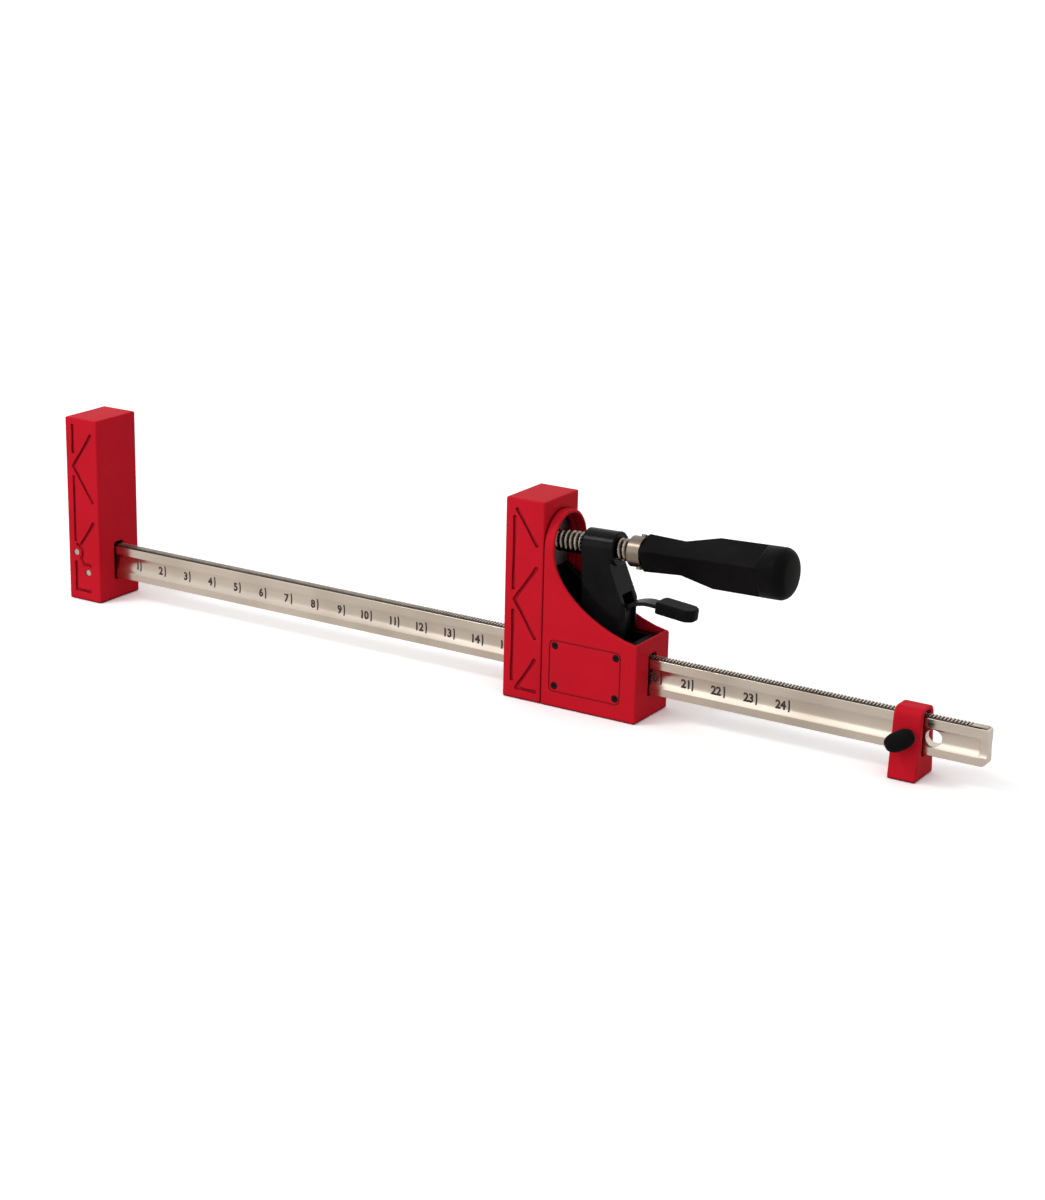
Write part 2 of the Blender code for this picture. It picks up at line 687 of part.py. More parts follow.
def build_moving_jaw(jaw, casing_frame):
    """The sliding jaw: a cover like the fixed one, its cast core and the thrust plate behind the spindle's foot."""
    build_cover("moving_jaw_cover", 0, "behind", MOVING_TRUSS_SHARES, jaw)
    back = JAW_THICK - CORE_RECESS
    seat = back - THRUST_PLATE_THICK - SEAT_GAP
    shoulder = SPINDLE_HEIGHT - THRUST_PLATE_BELOW - SEAT_GAP
    cheek_end = JAW_THICK + CHEEK_BEHIND_JAW
    gusset_end = back + (cheek_end - back) * GUSSET_END_SHARE
    outline = [
        (CORE_INSET, CORE_INSET), (cheek_end, CORE_INSET), (cheek_end, CHEEK_HEIGHT), (gusset_end, CHEEK_HEIGHT),
        (back, shoulder), (seat, shoulder), (seat, CORE_TOP), (CORE_INSET, CORE_TOP),
    ]
    core = outline_solid("moving_jaw_core", outline, "XZ", -CHEEK_HALF, CHEEK_HALF, "cast_black", jaw)
    sides = [
        block_bmesh((0, min(near, far), 0), (JAW_THICK + SEAT_GAP, max(near, far), JAW_HEIGHT))
        for near, far in ((-CORE_HALF, -JAW_WIDTH), (CORE_HALF, JAW_WIDTH))
    ]
    boolean(core, mesh_object("core_side_cutter", join_bmesh(sides), None, jaw))
    between = CORE_HALF - CHEEK_THICK
    boolean(core, block("cheek_gap_cutter", (back, -between, 0), (cheek_end * 2, between, JAW_HEIGHT), parent=jaw))
    pocket_top = SPINDLE_HEIGHT - SWIVEL_RADIUS - CORE_POCKET_BELOW_SOCKET
    boolean(core, core_pocket_cutter("moving_pocket_cutter", CORE_INSET, back, pocket_top, 1, jaw))
    boolean(core, outline_solid(
        "moving_tunnel_cutter", window_outline(CORE_BAR_PLAY, 0), "YZ", -CUT_OVERRUN, back + CUT_OVERRUN, None, jaw
    ))
    socket_start = SWIVEL_FROM_FACE - SWIVEL_THICK / 2 - SOCKET_END_PLAY
    boolean(core, rod(
        "swivel_socket_cutter", "X", (socket_start, 0, SPINDLE_HEIGHT), SWIVEL_RADIUS + SOCKET_SIDE_PLAY,
        JAW_THICK - socket_start, None, jaw, ROUND_STEPS,
    ))
    boolean(core, screw_bores(casing_frame), crossing=True)
    plate = block(
        "thrust_plate",
        (seat + SEAT_GAP, THRUST_PLATE_INSET - JAW_WIDTH / 2, SPINDLE_HEIGHT - THRUST_PLATE_BELOW),
        (back, JAW_WIDTH / 2 - THRUST_PLATE_INSET, SPINDLE_HEIGHT + THRUST_PLATE_ABOVE), "plate_steel", jaw,
    )
    boolean(plate, rod(
        "thrust_eye_cutter", "X", (seat - CUT_OVERRUN, 0, SPINDLE_HEIGHT), NECK_RADIUS + NECK_PLAY,
        JAW_THICK, None, jaw, ROUND_STEPS,
    ))
    build_shoes(core, jaw)


def build_shoes(core, jaw):
    """Two guide blocks that slide on the bar: one let into the casting, one between its cheeks at the back."""
    tunnel = outline_solid(
        "shoe_tunnel_cutter", window_outline(RUN_GAP, 0), "YZ", 0, JAW_THICK + CASING_LENGTH, None, jaw
    )
    back = JAW_THICK - CORE_RECESS
    half = FRONT_SHOE_WIDTH / 2
    low = (back - FRONT_SHOE_LENGTH, -half, BAR_LIFT - FRONT_SHOE_WALL)
    high = (back - SEAT_GAP, half, RIB_TOP + FRONT_SHOE_WALL)
    front_shoe = block("glide_shoe_front", low, high, "plate_steel", jaw)
    gap = Vector((SEAT_GAP, SEAT_GAP, SEAT_GAP))
    boolean(core, block("shoe_seat_cutter", Vector(low) - gap, Vector(high) + gap + Vector((CUT_OVERRUN, 0, 0)), parent=jaw))
    end = JAW_THICK + CASING_LENGTH - CASING_WALL
    half = CORE_HALF - CHEEK_THICK - SEAT_GAP
    back_shoe = block(
        "glide_shoe_back", (end - BACK_SHOE_LENGTH, -half, CASING_WALL + SEAT_GAP), (end, half, BACK_SHOE_HEIGHT),
        "plate_steel", jaw,
    )
    for shoe in (front_shoe, back_shoe):
        boolean(shoe, tunnel)


def swoop_points():
    """The casing wall's upper edge: a long hollow curve from the arch down to the back wall."""
    high = SPINDLE_HEIGHT - SWOOP_START_BELOW_ARCH
    steps = ARC_STEPS * 2
    points = []
    for step in range(steps + 1):
        along = (step / steps) ** 2
        fall = (1 - along ** SWOOP_FALL_POWER_SHARE) ** SWOOP_CURVE_POWER_SHARE
        x = ARCH_LENGTH + (CASING_LENGTH - ARCH_LENGTH) * along
        points.append((x, CASING_BACK_HEIGHT + (high - CASING_BACK_HEIGHT) * fall))
    return points


def arched_outline(half, floor):
    """The casing's cross-section: upright sides under a half-round top that follows the spindle."""
    points = [(-half, floor), (half, floor)]
    for step in range(ROUND_STEPS // 2 + 1):
        angle = math.tau * step / ROUND_STEPS
        points.append((half * math.cos(angle), SPINDLE_HEIGHT + half * math.sin(angle)))
    return points


def screw_places():
    """Where the casing's screws sit, as (side, x, z): side is -1 on the ruler side, four screws to a side."""
    rows = (PANEL_MARGIN_FRONT + SCREW_IN_PANEL_FRONT, CASING_LENGTH - PANEL_MARGIN_BACK - SCREW_IN_PANEL_BACK)
    levels = (PANEL_LOW + SCREW_IN_PANEL_LOW, PANEL_HIGH - SCREW_IN_PANEL_HIGH)
    return [(side, x, z) for side in (-1, 1) for x in rows for z in levels]


def build_casing(casing_frame):
    """The moulded housing behind the moving jaw: swooping side walls, an arch round the spindle and a back wall."""
    half = JAW_WIDTH / 2
    crown = SPINDLE_HEIGHT + half + CUT_OVERRUN
    outline = [(0, 0), (CASING_LENGTH, 0)] + swoop_points()[::-1] + [(ARCH_LENGTH, crown), (0, crown)]
    reach = half + CUT_OVERRUN
    casing = outline_solid("casing", outline, "XZ", -reach, reach, "jaw_red", casing_frame)
    section = outline_solid(
        "casing_section_cutter", arched_outline(half, 0), "YZ", -CUT_OVERRUN, CASING_LENGTH + CUT_OVERRUN, None, casing_frame
    )
    boolean(casing, section, "INTERSECT")
    bevel(casing, CASING_EDGE, 1)
    inner = half - CASING_WALL
    hollow = outline_solid(
        "casing_hollow_cutter", arched_outline(inner, CASING_WALL), "YZ", -CUT_OVERRUN, CASING_LENGTH - CASING_WALL,
        None, casing_frame,
    )
    boolean(casing, hollow)
    window = outline_solid(
        "casing_window_cutter", cover_window_outline(), "YZ",
        CASING_LENGTH - CASING_WALL - CUT_OVERRUN, CASING_LENGTH + CUT_OVERRUN, None, casing_frame,
    )
    boolean(casing, window)
    boolean(casing, panel_cutter(casing_frame))
    boolean(casing, screw_bores(casing_frame), crossing=True)


def panel_cutter(casing_frame):
    """A shallow groove that frames a bare panel on each side of the casing."""
    def ring(inset, depth, side):
        corner = max(PANEL_CORNER - inset, MERGE_DISTANCE)
        low_x, high_x = PANEL_MARGIN_FRONT + inset, CASING_LENGTH - PANEL_MARGIN_BACK - inset
        low_z, high_z = PANEL_LOW + inset, PANEL_HIGH - inset
        points = filleted([
            (low_x, low_z, corner), (high_x, low_z, corner), (high_x, high_z, corner), (low_x, high_z, corner),
        ])
        inner = side * (JAW_WIDTH / 2 - depth)
        outer = side * (JAW_WIDTH / 2 + CUT_OVERRUN)
        return outline_bmesh(points, "XZ", min(inner, outer), max(inner, outer))

    rings = [ring(0, PANEL_GROOVE_DEPTH, side) for side in (-1, 1)]
    plugs = [ring(PANEL_GROOVE, PANEL_GROOVE_DEPTH + CUT_OVERRUN, side) for side in (-1, 1)]
    groove = mesh_object("panel_groove_cutter", join_bmesh(rings), None, casing_frame)
    plug = mesh_object("panel_plug_cutter", join_bmesh(plugs), None, casing_frame)
    boolean(groove, plug)
    return groove


def screw_bores(casing_frame):
    """Stepped holes for all the casing's screws, as one cutter."""
    head_low = JAW_WIDTH / 2 - PANEL_GROOVE_DEPTH - SCREW_HEAD_DEPTH - SEAT_GAP
    tip = JAW_WIDTH / 2 - PANEL_GROOVE_DEPTH - SCREW_LENGTH - SEAT_GAP
    outside = JAW_WIDTH / 2 + CUT_OVERRUN
    bores = []
    for side, x, z in screw_places():
        for radius, low in ((SCREW_HEAD_RADIUS, head_low), (SCREW_SHANK_RADIUS, tip)):
            start = low if side > 0 else -outside
            bores.append(rod_bmesh("Y", (x, start, z), radius + SEAT_GAP, outside - low, SMALL_STEPS))
    return mesh_object("screw_bore_cutter", join_bmesh(bores), None, casing_frame)


def frozen_mesh(thing):
    """Take the finished mesh of an object in its own axes, turned as it stands, and drop the object."""
    seen = thing.evaluated_get(bpy.context.evaluated_depsgraph_get())
    mesh = bpy.data.meshes.new_from_object(seen)
    mesh.transform(thing.matrix_world)
    bpy.data.objects.remove(thing)
    return mesh


def build_screws(casing_frame):
    """Eight equal socket screws, four in each side of the casing."""
    profile = [
        (0, 0), (0, SCREW_HEAD_RADIUS), (-SCREW_HEAD_DEPTH, SCREW_HEAD_RADIUS), (-SCREW_HEAD_DEPTH, SCREW_SHANK_RADIUS),
        (-SCREW_LENGTH, SCREW_SHANK_RADIUS), (-SCREW_LENGTH, 0),
    ]
    pattern = turned("screw_pattern", profile, "cast_black", None, SMALL_STEPS)
    boolean(pattern, rod("socket_cutter", "X", (-SCREW_SOCKET_DEPTH, 0, 0), SCREW_SOCKET_RADIUS, SCREW_LENGTH, steps=6))
    mesh = frozen_mesh(pattern)
    face = JAW_WIDTH / 2 - PANEL_GROOVE_DEPTH
    for number, (side, x, z) in enumerate(screw_places(), 1):
        screw = bpy.data.objects.new(f"casing_screw_{number}", mesh)
        collection("parallel_clamp").objects.link(screw)
        screw.location = (x, side * face, z)
        screw.rotation_euler = (0, 0, side * math.pi / 2)
        screw.parent = casing_frame


def helix_bmesh(start, length, grow):
    """The thread's ridge: one section swept round and along X, grown on every side for the nut's thread."""
    root = THREAD_ROOT_RADIUS - RUN_GAP
    crest = THREAD_CREST_RADIUS + grow
    root_half = THREAD_ROOT_WIDTH / 2 + grow
    crest_half = THREAD_CREST_WIDTH / 2 + grow
    bm = bmesh.new()
    corners = [(-root_half, root), (-crest_half, crest), (crest_half, crest), (root_half, root)]
    ring = [bm.verts.new((start + along, 0, radius)) for along, radius in corners]
    edges = [bm.edges.new((ring[index - 1], ring[index])) for index in range(len(ring))]
    steps = round(length / THREAD_LEAD * THREAD_STEPS)
    bmesh.ops.spin(
        bm, geom=edges, cent=(0, 0, 0), axis=(1, 0, 0), angle=math.tau * length / THREAD_LEAD,
        dvec=(length / steps, 0, 0), steps=steps,
    )
    bmesh.ops.holes_fill(bm, edges=[edge for edge in bm.edges if edge.is_boundary], sides=len(corners))
    bmesh.ops.recalc_face_normals(bm, faces=bm.faces)
    return bm


def build_spindle(swivel_frame):
    """The spindle with its coarse thread, and the foot and ring that hold it in the jaw."""
    foot_front = SWIVEL_THICK / 2
    neck_end = THREAD_START
    tip = foot_front - SWIVEL_BORE_DEPTH
    handle_inside = HANDLE_FROM + TANG_LENGTH
    profile = [
        (handle_inside, 0), (handle_inside, SHANK_RADIUS), (FERRULE_FROM, SHANK_RADIUS),
        (FERRULE_FROM, THREAD_ROOT_RADIUS), (neck_end, THREAD_ROOT_RADIUS), (neck_end, NECK_RADIUS),
        (tip, NECK_RADIUS), (tip, 0),
    ]
    spindle = turned("spindle", profile, "spindle_steel", swivel_frame, THREAD_STEPS)
    run = THREAD_LENGTH - THREAD_ROOT_WIDTH * 2
    ridge = mesh_object(
        "thread_ridge", helix_bmesh(THREAD_START + THREAD_ROOT_WIDTH, run, 0.0), None, swivel_frame
    )
    boolean(spindle, ridge, "UNION")
    pin_bore = handle_pin_object("spindle_pin_bore_cutter", SEAT_GAP, None, swivel_frame)
    boolean(spindle, pin_bore)
    foot = [
        (tip - SEAT_GAP, 0), (tip - SEAT_GAP, NECK_RADIUS + SEAT_GAP), (foot_front, NECK_RADIUS + SEAT_GAP),
        (foot_front, SWIVEL_RADIUS - JAW_EDGE), (foot_front - JAW_EDGE, SWIVEL_RADIUS),
        (JAW_EDGE - foot_front, SWIVEL_RADIUS), (-foot_front, SWIVEL_RADIUS - JAW_EDGE), (-foot_front, 0),
    ]
    turned("swivel_foot", foot, "plate_steel", swivel_frame)


def handle_pin_object(name, grow, finish, swivel_frame):
    """The cross pin through the ferrule and shank, or the hole for it when grown."""
    length = HANDLE_PIN_LENGTH + grow * 2
    bm = rod_bmesh("Y", (0, -length / 2, 0), HANDLE_PIN_RADIUS + grow, length, SMALL_STEPS)
    along = FERRULE_FROM + FERRULE_LENGTH - HANDLE_PIN_BEFORE_END
    turn = Matrix.Rotation(HANDLE_TURN, 4, "X")
    bmesh.ops.transform(bm, verts=bm.verts, matrix=Matrix.Translation((along, 0, 0)) @ turn)
    thing = mesh_object(name, bm, finish, swivel_frame)
    smooth(thing)
    return thing


def build_handle(swivel_frame):
    """The grip: a turned body with a dome, trimmed by four long flats, on the spindle's tang behind a ferrule."""
    end = FERRULE_FROM + FERRULE_LENGTH
    bore = SHANK_RADIUS + SEAT_GAP
    ferrule = turned("ferrule", [
        (end, bore), (end, FERRULE_RADIUS), (FERRULE_FROM + SEAT_GAP + FERRULE_CHAMFER, FERRULE_RADIUS),
        (FERRULE_FROM + SEAT_GAP, FERRULE_RADIUS - FERRULE_CHAMFER), (FERRULE_FROM + SEAT_GAP, bore),
    ], "spindle_steel", swivel_frame, ROUND_STEPS, closed=True)
    boolean(ferrule, handle_pin_object("ferrule_pin_bore_cutter", SEAT_GAP, None, swivel_frame))
    handle_pin_object("handle_pin", 0.0, "spindle_steel", swivel_frame)
    last = HANDLE_FROM + HANDLE_LENGTH
    profile = [(last, 0)]
    for step in range(ARC_STEPS + 1):
        angle = math.pi / 2 * step / ARC_STEPS
        profile.append((
            last - HANDLE_DOME - HANDLE_END_ROUND * (1 - math.cos(angle)),
            HANDLE_END_RADIUS - HANDLE_END_ROUND * (1 - math.sin(angle)),
        ))
    profile += [
        (HANDLE_GRIP_FROM, HANDLE_GRIP_RADIUS), (HANDLE_WAIST_FROM, HANDLE_WAIST_RADIUS),
        (HANDLE_FROM + HANDLE_CHAMFER, HANDLE_NECK_RADIUS), (HANDLE_FROM, HANDLE_NECK_RADIUS - HANDLE_CHAMFER),
        (HANDLE_FROM, bore), (HANDLE_FROM + TANG_LENGTH + SEAT_GAP, bore), (HANDLE_FROM + TANG_LENGTH + SEAT_GAP, 0),
    ]
    handle = turned("handle", profile, "handle_black", swivel_frame, ROUND_STEPS)
    for quarter in (0, 1):
        plate = outline_bmesh(flat_outline(), "XZ", -HANDLE_END_RADIUS * 2, HANDLE_END_RADIUS * 2)
        turn = Matrix.Rotation(HANDLE_TURN + math.pi / 4 + quarter * math.pi / 2, 4, "X")
        bmesh.ops.transform(plate, verts=plate.verts, matrix=turn)
        boolean(handle, mesh_object("handle_flat_cutter", plate, None, swivel_frame), "INTERSECT")


def flat_outline():
    """The side view of the handle's flats: two facing flats that follow the grip and run out before its end."""
    neck = HANDLE_NECK_RADIUS * HANDLE_FLAT_SHARE
    waist = HANDLE_WAIST_RADIUS * HANDLE_FLAT_SHARE
    grip = HANDLE_GRIP_RADIUS * HANDLE_FLAT_SHARE
    wide = HANDLE_END_RADIUS * 2
    upper = [
        (HANDLE_FROM - CUT_OVERRUN, neck), (HANDLE_WAIST_FROM, waist), (HANDLE_GRIP_FROM, grip),
        (HANDLE_FLAT_END, grip),
    ]
    upper.append((HANDLE_FLAT_END + (wide - grip) * HANDLE_RUNOUT_SHARE, wide))
    upper.append((HANDLE_FROM + HANDLE_LENGTH + CUT_OVERRUN, wide))
    lower = [(x, -z) for x, z in upper]
    return lower + upper[::-1]


def build_arm(swivel_frame):
    """The cast arm: a threaded boss on top, a web down to the bar, a window round the bar and a lever slot."""
    half = ARM_WIDTH / 2
    back = ARM_FROM + ARM_BACK_OUT
    foot_back = ARM_FROM + ARM_FOOT_OUT
    outline = [
        (ARM_FROM, 0), (ARM_FROM, -ARM_FOOT_DROP), (foot_back, -ARM_FOOT_DROP), (foot_back, -ARM_WAIST_DROP - ARM_BACK_CHAMFER),
        (back, -ARM_WAIST_DROP), (back, -ARM_BACK_DROP), (ARM_FROM + ARM_SHOULDER_OUT, -ARM_SHOULDER_DROP),
        (ARM_FROM + ARM_SHOULDER_OUT, 0),
    ]
    bm = outline_bmesh(outline, "XZ", -half, half)
    rear = [
        edge for edge in bm.edges
        if all(vert.co.x > foot_back + MERGE_DISTANCE and vert.co.z < -ARM_SHOULDER_DROP for vert in edge.verts)
        and abs(edge.verts[0].co.y - edge.verts[1].co.y) < MERGE_DISTANCE
        and edge.calc_length() > ARM_BACK_CHAMFER
        and len(edge.link_faces) == 2 and edge.calc_face_angle() > SMOOTH_ANGLE
    ]
    bmesh.ops.bevel(
        bm, geom=rear, offset=ARM_BACK_CHAMFER, segments=1, profile=0.5, affect="EDGES", material=-1
    )
    arm = mesh_object("arm", bm, "cast_black", swivel_frame)
    boss = rod("boss_blank", "X", (ARM_FROM, 0, 0), BOSS_RADIUS, BOSS_LENGTH, None, swivel_frame, ROUND_STEPS)
    boolean(arm, boss, "UNION")
    low = BAR_LIFT - SPINDLE_HEIGHT - ARM_WINDOW_BELOW
    high = RIB_TOP - SPINDLE_HEIGHT + ARM_WINDOW_ABOVE
    side = BAR_THICK / 2 + RUN_GAP
    window = block(
        "arm_window_cutter", (ARM_FROM - CUT_OVERRUN, -side, low), (back + CUT_OVERRUN, side, high), parent=swivel_frame
    )
    boolean(arm, window)
    slot_half = SLOT_WIDTH / 2
    front = ARM_FROM + SLOT_FRONT_WALL
    step = ARM_FROM + SLOT_STEP
    end = back + CUT_OVERRUN
    boolean(arm, block(
        "lever_slot_cutter_low", (front, -slot_half, high - CUT_OVERRUN), (end, slot_half, -SLOT_LEDGE_DROP), parent=swivel_frame
    ))
    boolean(arm, block(
        "lever_slot_cutter_high", (step, -slot_half, -SLOT_LEDGE_DROP - CUT_OVERRUN), (end, slot_half, -SLOT_ROOF_DROP),
        parent=swivel_frame,
    ))
    pivot = Vector((ARM_FROM + LEVER_PIVOT_OUT, 0, -LEVER_PIVOT_DROP))
    reach = half + CUT_OVERRUN
    boolean(arm, rod(
        "pivot_bore_cutter", "Y", pivot - Vector((0, reach, 0)), PIVOT_PIN_RADIUS + SEAT_GAP, reach * 2, None, swivel_frame
    ))
    rod(
        "trigger_pivot_pin", "Y", pivot - Vector((0, half - SEAT_GAP, 0)), PIVOT_PIN_RADIUS, (half - SEAT_GAP) * 2,
        "spindle_steel", swivel_frame,
    )
    half_bite = BITE_WIDTH / 2
    block(
        "arm_bite_plate", (ARM_FROM + SEAT_GAP, -half_bite, low - BITE_THICK), (foot_back - SEAT_GAP, half_bite, low),
        "plate_steel", swivel_frame,
    )
    boolean(arm, block(
        "bite_seat_cutter", (ARM_FROM - CUT_OVERRUN, -half_bite - SEAT_GAP, low - BITE_THICK - SEAT_GAP),
        (foot_back + CUT_OVERRUN, half_bite + SEAT_GAP, low + SEAT_GAP), parent=swivel_frame,
    ))
    cut_nut_thread(arm, swivel_frame)
    return pivot


def cut_nut_thread(arm, swivel_frame):
    """Cut the boss's bore and its thread, in step with the spindle's."""
    bore = rod(
        "nut_bore_cutter", "X", (ARM_FROM - CUT_OVERRUN, 0, 0), THREAD_ROOT_RADIUS + RUN_GAP,
        BOSS_LENGTH + CUT_OVERRUN * 2, None, swivel_frame, THREAD_STEPS,
    )
    boolean(arm, bore)
    turns_before = math.ceil((THREAD_START - ARM_FROM + CUT_OVERRUN * 2) / THREAD_LEAD)
    start = THREAD_START + THREAD_ROOT_WIDTH - turns_before * THREAD_LEAD
    run = ARM_FROM + BOSS_LENGTH + CUT_OVERRUN * 2 - start
    boolean(arm, mesh_object("nut_thread_cutter", helix_bmesh(start, run, THREAD_PLAY), None, swivel_frame))


def ribbon(points, thick):
    """The outline of a bent strip of even thickness along a centre line."""
    left, right = [], []
    for index, here in enumerate(points):
        before = Vector(points[max(index - 1, 0)])
        after = Vector(points[min(index + 1, len(points) - 1)])
        run = (after - before).normalized()
        side = Vector((-run.y, run.x)) * thick / 2
        left.append(tuple(Vector(here) + side))
        right.append(tuple(Vector(here) - side))
    return right + left[::-1]


def lever_line():
    """The release lever's smooth centre line from its pivot to its tip, in the pivot's frame."""
    points = [Vector((out * LEVER_SPAN, rise * LEVER_RISE)) for out, rise in LEVER_LINE_SHARES]
    line = []
    for index in range(len(points) - 1):
        first = points[max(index - 1, 0)]
        start, end = points[index], points[index + 1]
        last = points[min(index + 2, len(points) - 1)]
        for step in range(3):
            t = step / 3
            line.append(tuple(
                0.5 * (2 * start + (end - first) * t + (2 * first - 5 * start + 4 * end - last) * t ** 2
                       + (3 * start - first - 3 * end + last) * t ** 3)
            ))
    line.append(tuple(points[-1]))
    return line


def build_trigger(trigger_frame):
    """The release lever under the handle: a bent strip on a cross pin with a moulded grip, and its return spring."""
    half = LEVER_WIDTH / 2
    lever = outline_solid("trigger_lever", ribbon(lever_line(), LEVER_THICK), "XZ", -half, half, "cast_black", trigger_frame)
    add_pawl(lever, half, trigger_frame)
    eye_half = LEVER_EYE_WIDTH / 2
    eye = rod("lever_eye_blank", "Y", (0, -eye_half, 0), LEVER_EYE_RADIUS, eye_half * 2, None, trigger_frame)
    boolean(lever, eye, "UNION")
    bore = rod(
        "lever_bore_cutter", "Y", (0, -half - CUT_OVERRUN, 0), PIVOT_PIN_RADIUS + SEAT_GAP, (half + CUT_OVERRUN) * 2, None,
        trigger_frame,
    )
    boolean(lever, bore)
    line = lever_line()
    tip = Vector(line[-1])
    run = (tip - Vector(line[-3])).normalized()
    slope = math.atan2(-run.y, run.x)
    start = Vector((tip.x, 0, tip.y)) - Vector((run.x, 0, run.y)) * GRIP_BEFORE_TIP
    side = GRIP_WIDTH / 2
    plan = filleted([
        (0, -side, GRIP_ROOT_CORNER), (GRIP_LENGTH, -side, GRIP_END_CORNER),
        (GRIP_LENGTH, side, GRIP_END_CORNER), (0, side, GRIP_ROOT_CORNER),
    ])
    bm = outline_bmesh(plan, "XY", -GRIP_THICK / 2, GRIP_THICK / 2)
    bmesh.ops.transform(bm, verts=bm.verts, matrix=Matrix.Translation(start) @ Matrix.Rotation(slope, 4, "Y"))
    grip = mesh_object("trigger_grip", bm, "handle_black", trigger_frame)
    bevel(grip, GRIP_ROUND, 3)
    pocket = outline_solid(
        "grip_pocket_cutter", ribbon(line[-7:] + [tuple(tip + run * SEAT_GAP)], LEVER_THICK + SEAT_GAP * 2), "XZ",
        -half - SEAT_GAP, half + SEAT_GAP, None, trigger_frame,
    )
    boolean(grip, pocket)


def add_pawl(lever, half, trigger_frame):
    """The toothed pad under the lever that drops on the bar's rib when the arm comes upright."""
    end = PAWL_FROM + PAWL_TEETH * TOOTH_PITCH
    points = [(end, -LEVER_THICK / 4), (PAWL_FROM, -LEVER_THICK / 4), (PAWL_FROM, -PAWL_DROP + TOOTH_DEPTH * 2)]
    for index in range(PAWL_TEETH):
        points.append((PAWL_FROM + (index + 0.5) * TOOTH_PITCH, -PAWL_DROP))
        points.append((PAWL_FROM + (index + 1) * TOOTH_PITCH, -PAWL_DROP + TOOTH_DEPTH))
    points[-1] = (end, -PAWL_DROP + TOOTH_DEPTH * 2)
    pad_half = half - RUN_GAP
    boolean(lever, outline_solid("pawl_blank", points[::-1], "XZ", -pad_half, pad_half, None, trigger_frame), "UNION")


def build_trigger_spring(swivel_frame, pivot):
    """A small coil spring between the lever's leg and the roof of its slot, as one unbroken wire."""
    base = pivot.z + LEVER_THICK / 2 + SPRING_WIRE_RADIUS + SEAT_GAP
    top = -SLOT_LEDGE_DROP - SPRING_WIRE_RADIUS - SEAT_GAP
    curve = bpy.data.curves.new("trigger_spring", "CURVE")
    curve.dimensions = "3D"
    curve.bevel_depth = SPRING_WIRE_RADIUS
    curve.bevel_resolution = 1
    curve.use_fill_caps = True
    spline = curve.splines.new("POLY")
    steps = SPRING_TURNS * 9
    spline.points.add(steps)
    for step, point in enumerate(spline.points):
        angle = math.tau * SPRING_TURNS * step / steps
        point.co = (
            pivot.x + SPRING_OUT + SPRING_COIL_RADIUS * math.cos(angle), SPRING_COIL_RADIUS * math.sin(angle),
            base + (top - base) * step / steps, 1,
        )
    spring = bpy.data.objects.new("trigger_spring", curve)
    settle(spring, "spindle_steel", swivel_frame)


def build_end_stop(stop_frame):
    """The end stop: a tapered block on the bar, clamped by a thumbscrew that presses a pad on the bar's web."""
    base, top = STOP_BASE_WIDTH / 2, STOP_TOP_WIDTH / 2
    low = -BAR_MIDDLE
    outline = filleted([(-base, low, 0), (base, low, 0), (top, low + STOP_HEIGHT, STOP_TOP_ROUND), (-top, low + STOP_HEIGHT, STOP_TOP_ROUND)])
    stop = outline_solid("stop_block", outline, "YZ", -STOP_LENGTH / 2, STOP_LENGTH / 2, "jaw_red", stop_frame)
    bevel(stop, STOP_EDGE, 1)
    window = [(y, z - BAR_MIDDLE) for y, z in cover_window_outline()]
    boolean(stop, outline_solid("stop_window_cutter", window, "YZ", -STOP_LENGTH, STOP_LENGTH, None, stop_frame))
    taper = (STOP_BASE_WIDTH - STOP_TOP_WIDTH) / 2 / STOP_HEIGHT
    face = base - taper * BAR_MIDDLE
    insert_outer = face - INSERT_INSET
    boolean(stop, rod(
        "insert_bore_cutter", "Y", (0, -face - CUT_OVERRUN, 0), INSERT_RADIUS + SEAT_GAP, face, None, stop_frame
    ))
    insert = rod("stop_insert", "Y", (0, -insert_outer, 0), INSERT_RADIUS, INSERT_LENGTH, "bronze", stop_frame)
    boolean(insert, rod(
        "insert_thread_cutter", "Y", (0, -face - CUT_OVERRUN, 0), STUD_RADIUS + SEAT_GAP, face, None, stop_frame
    ))
    return face


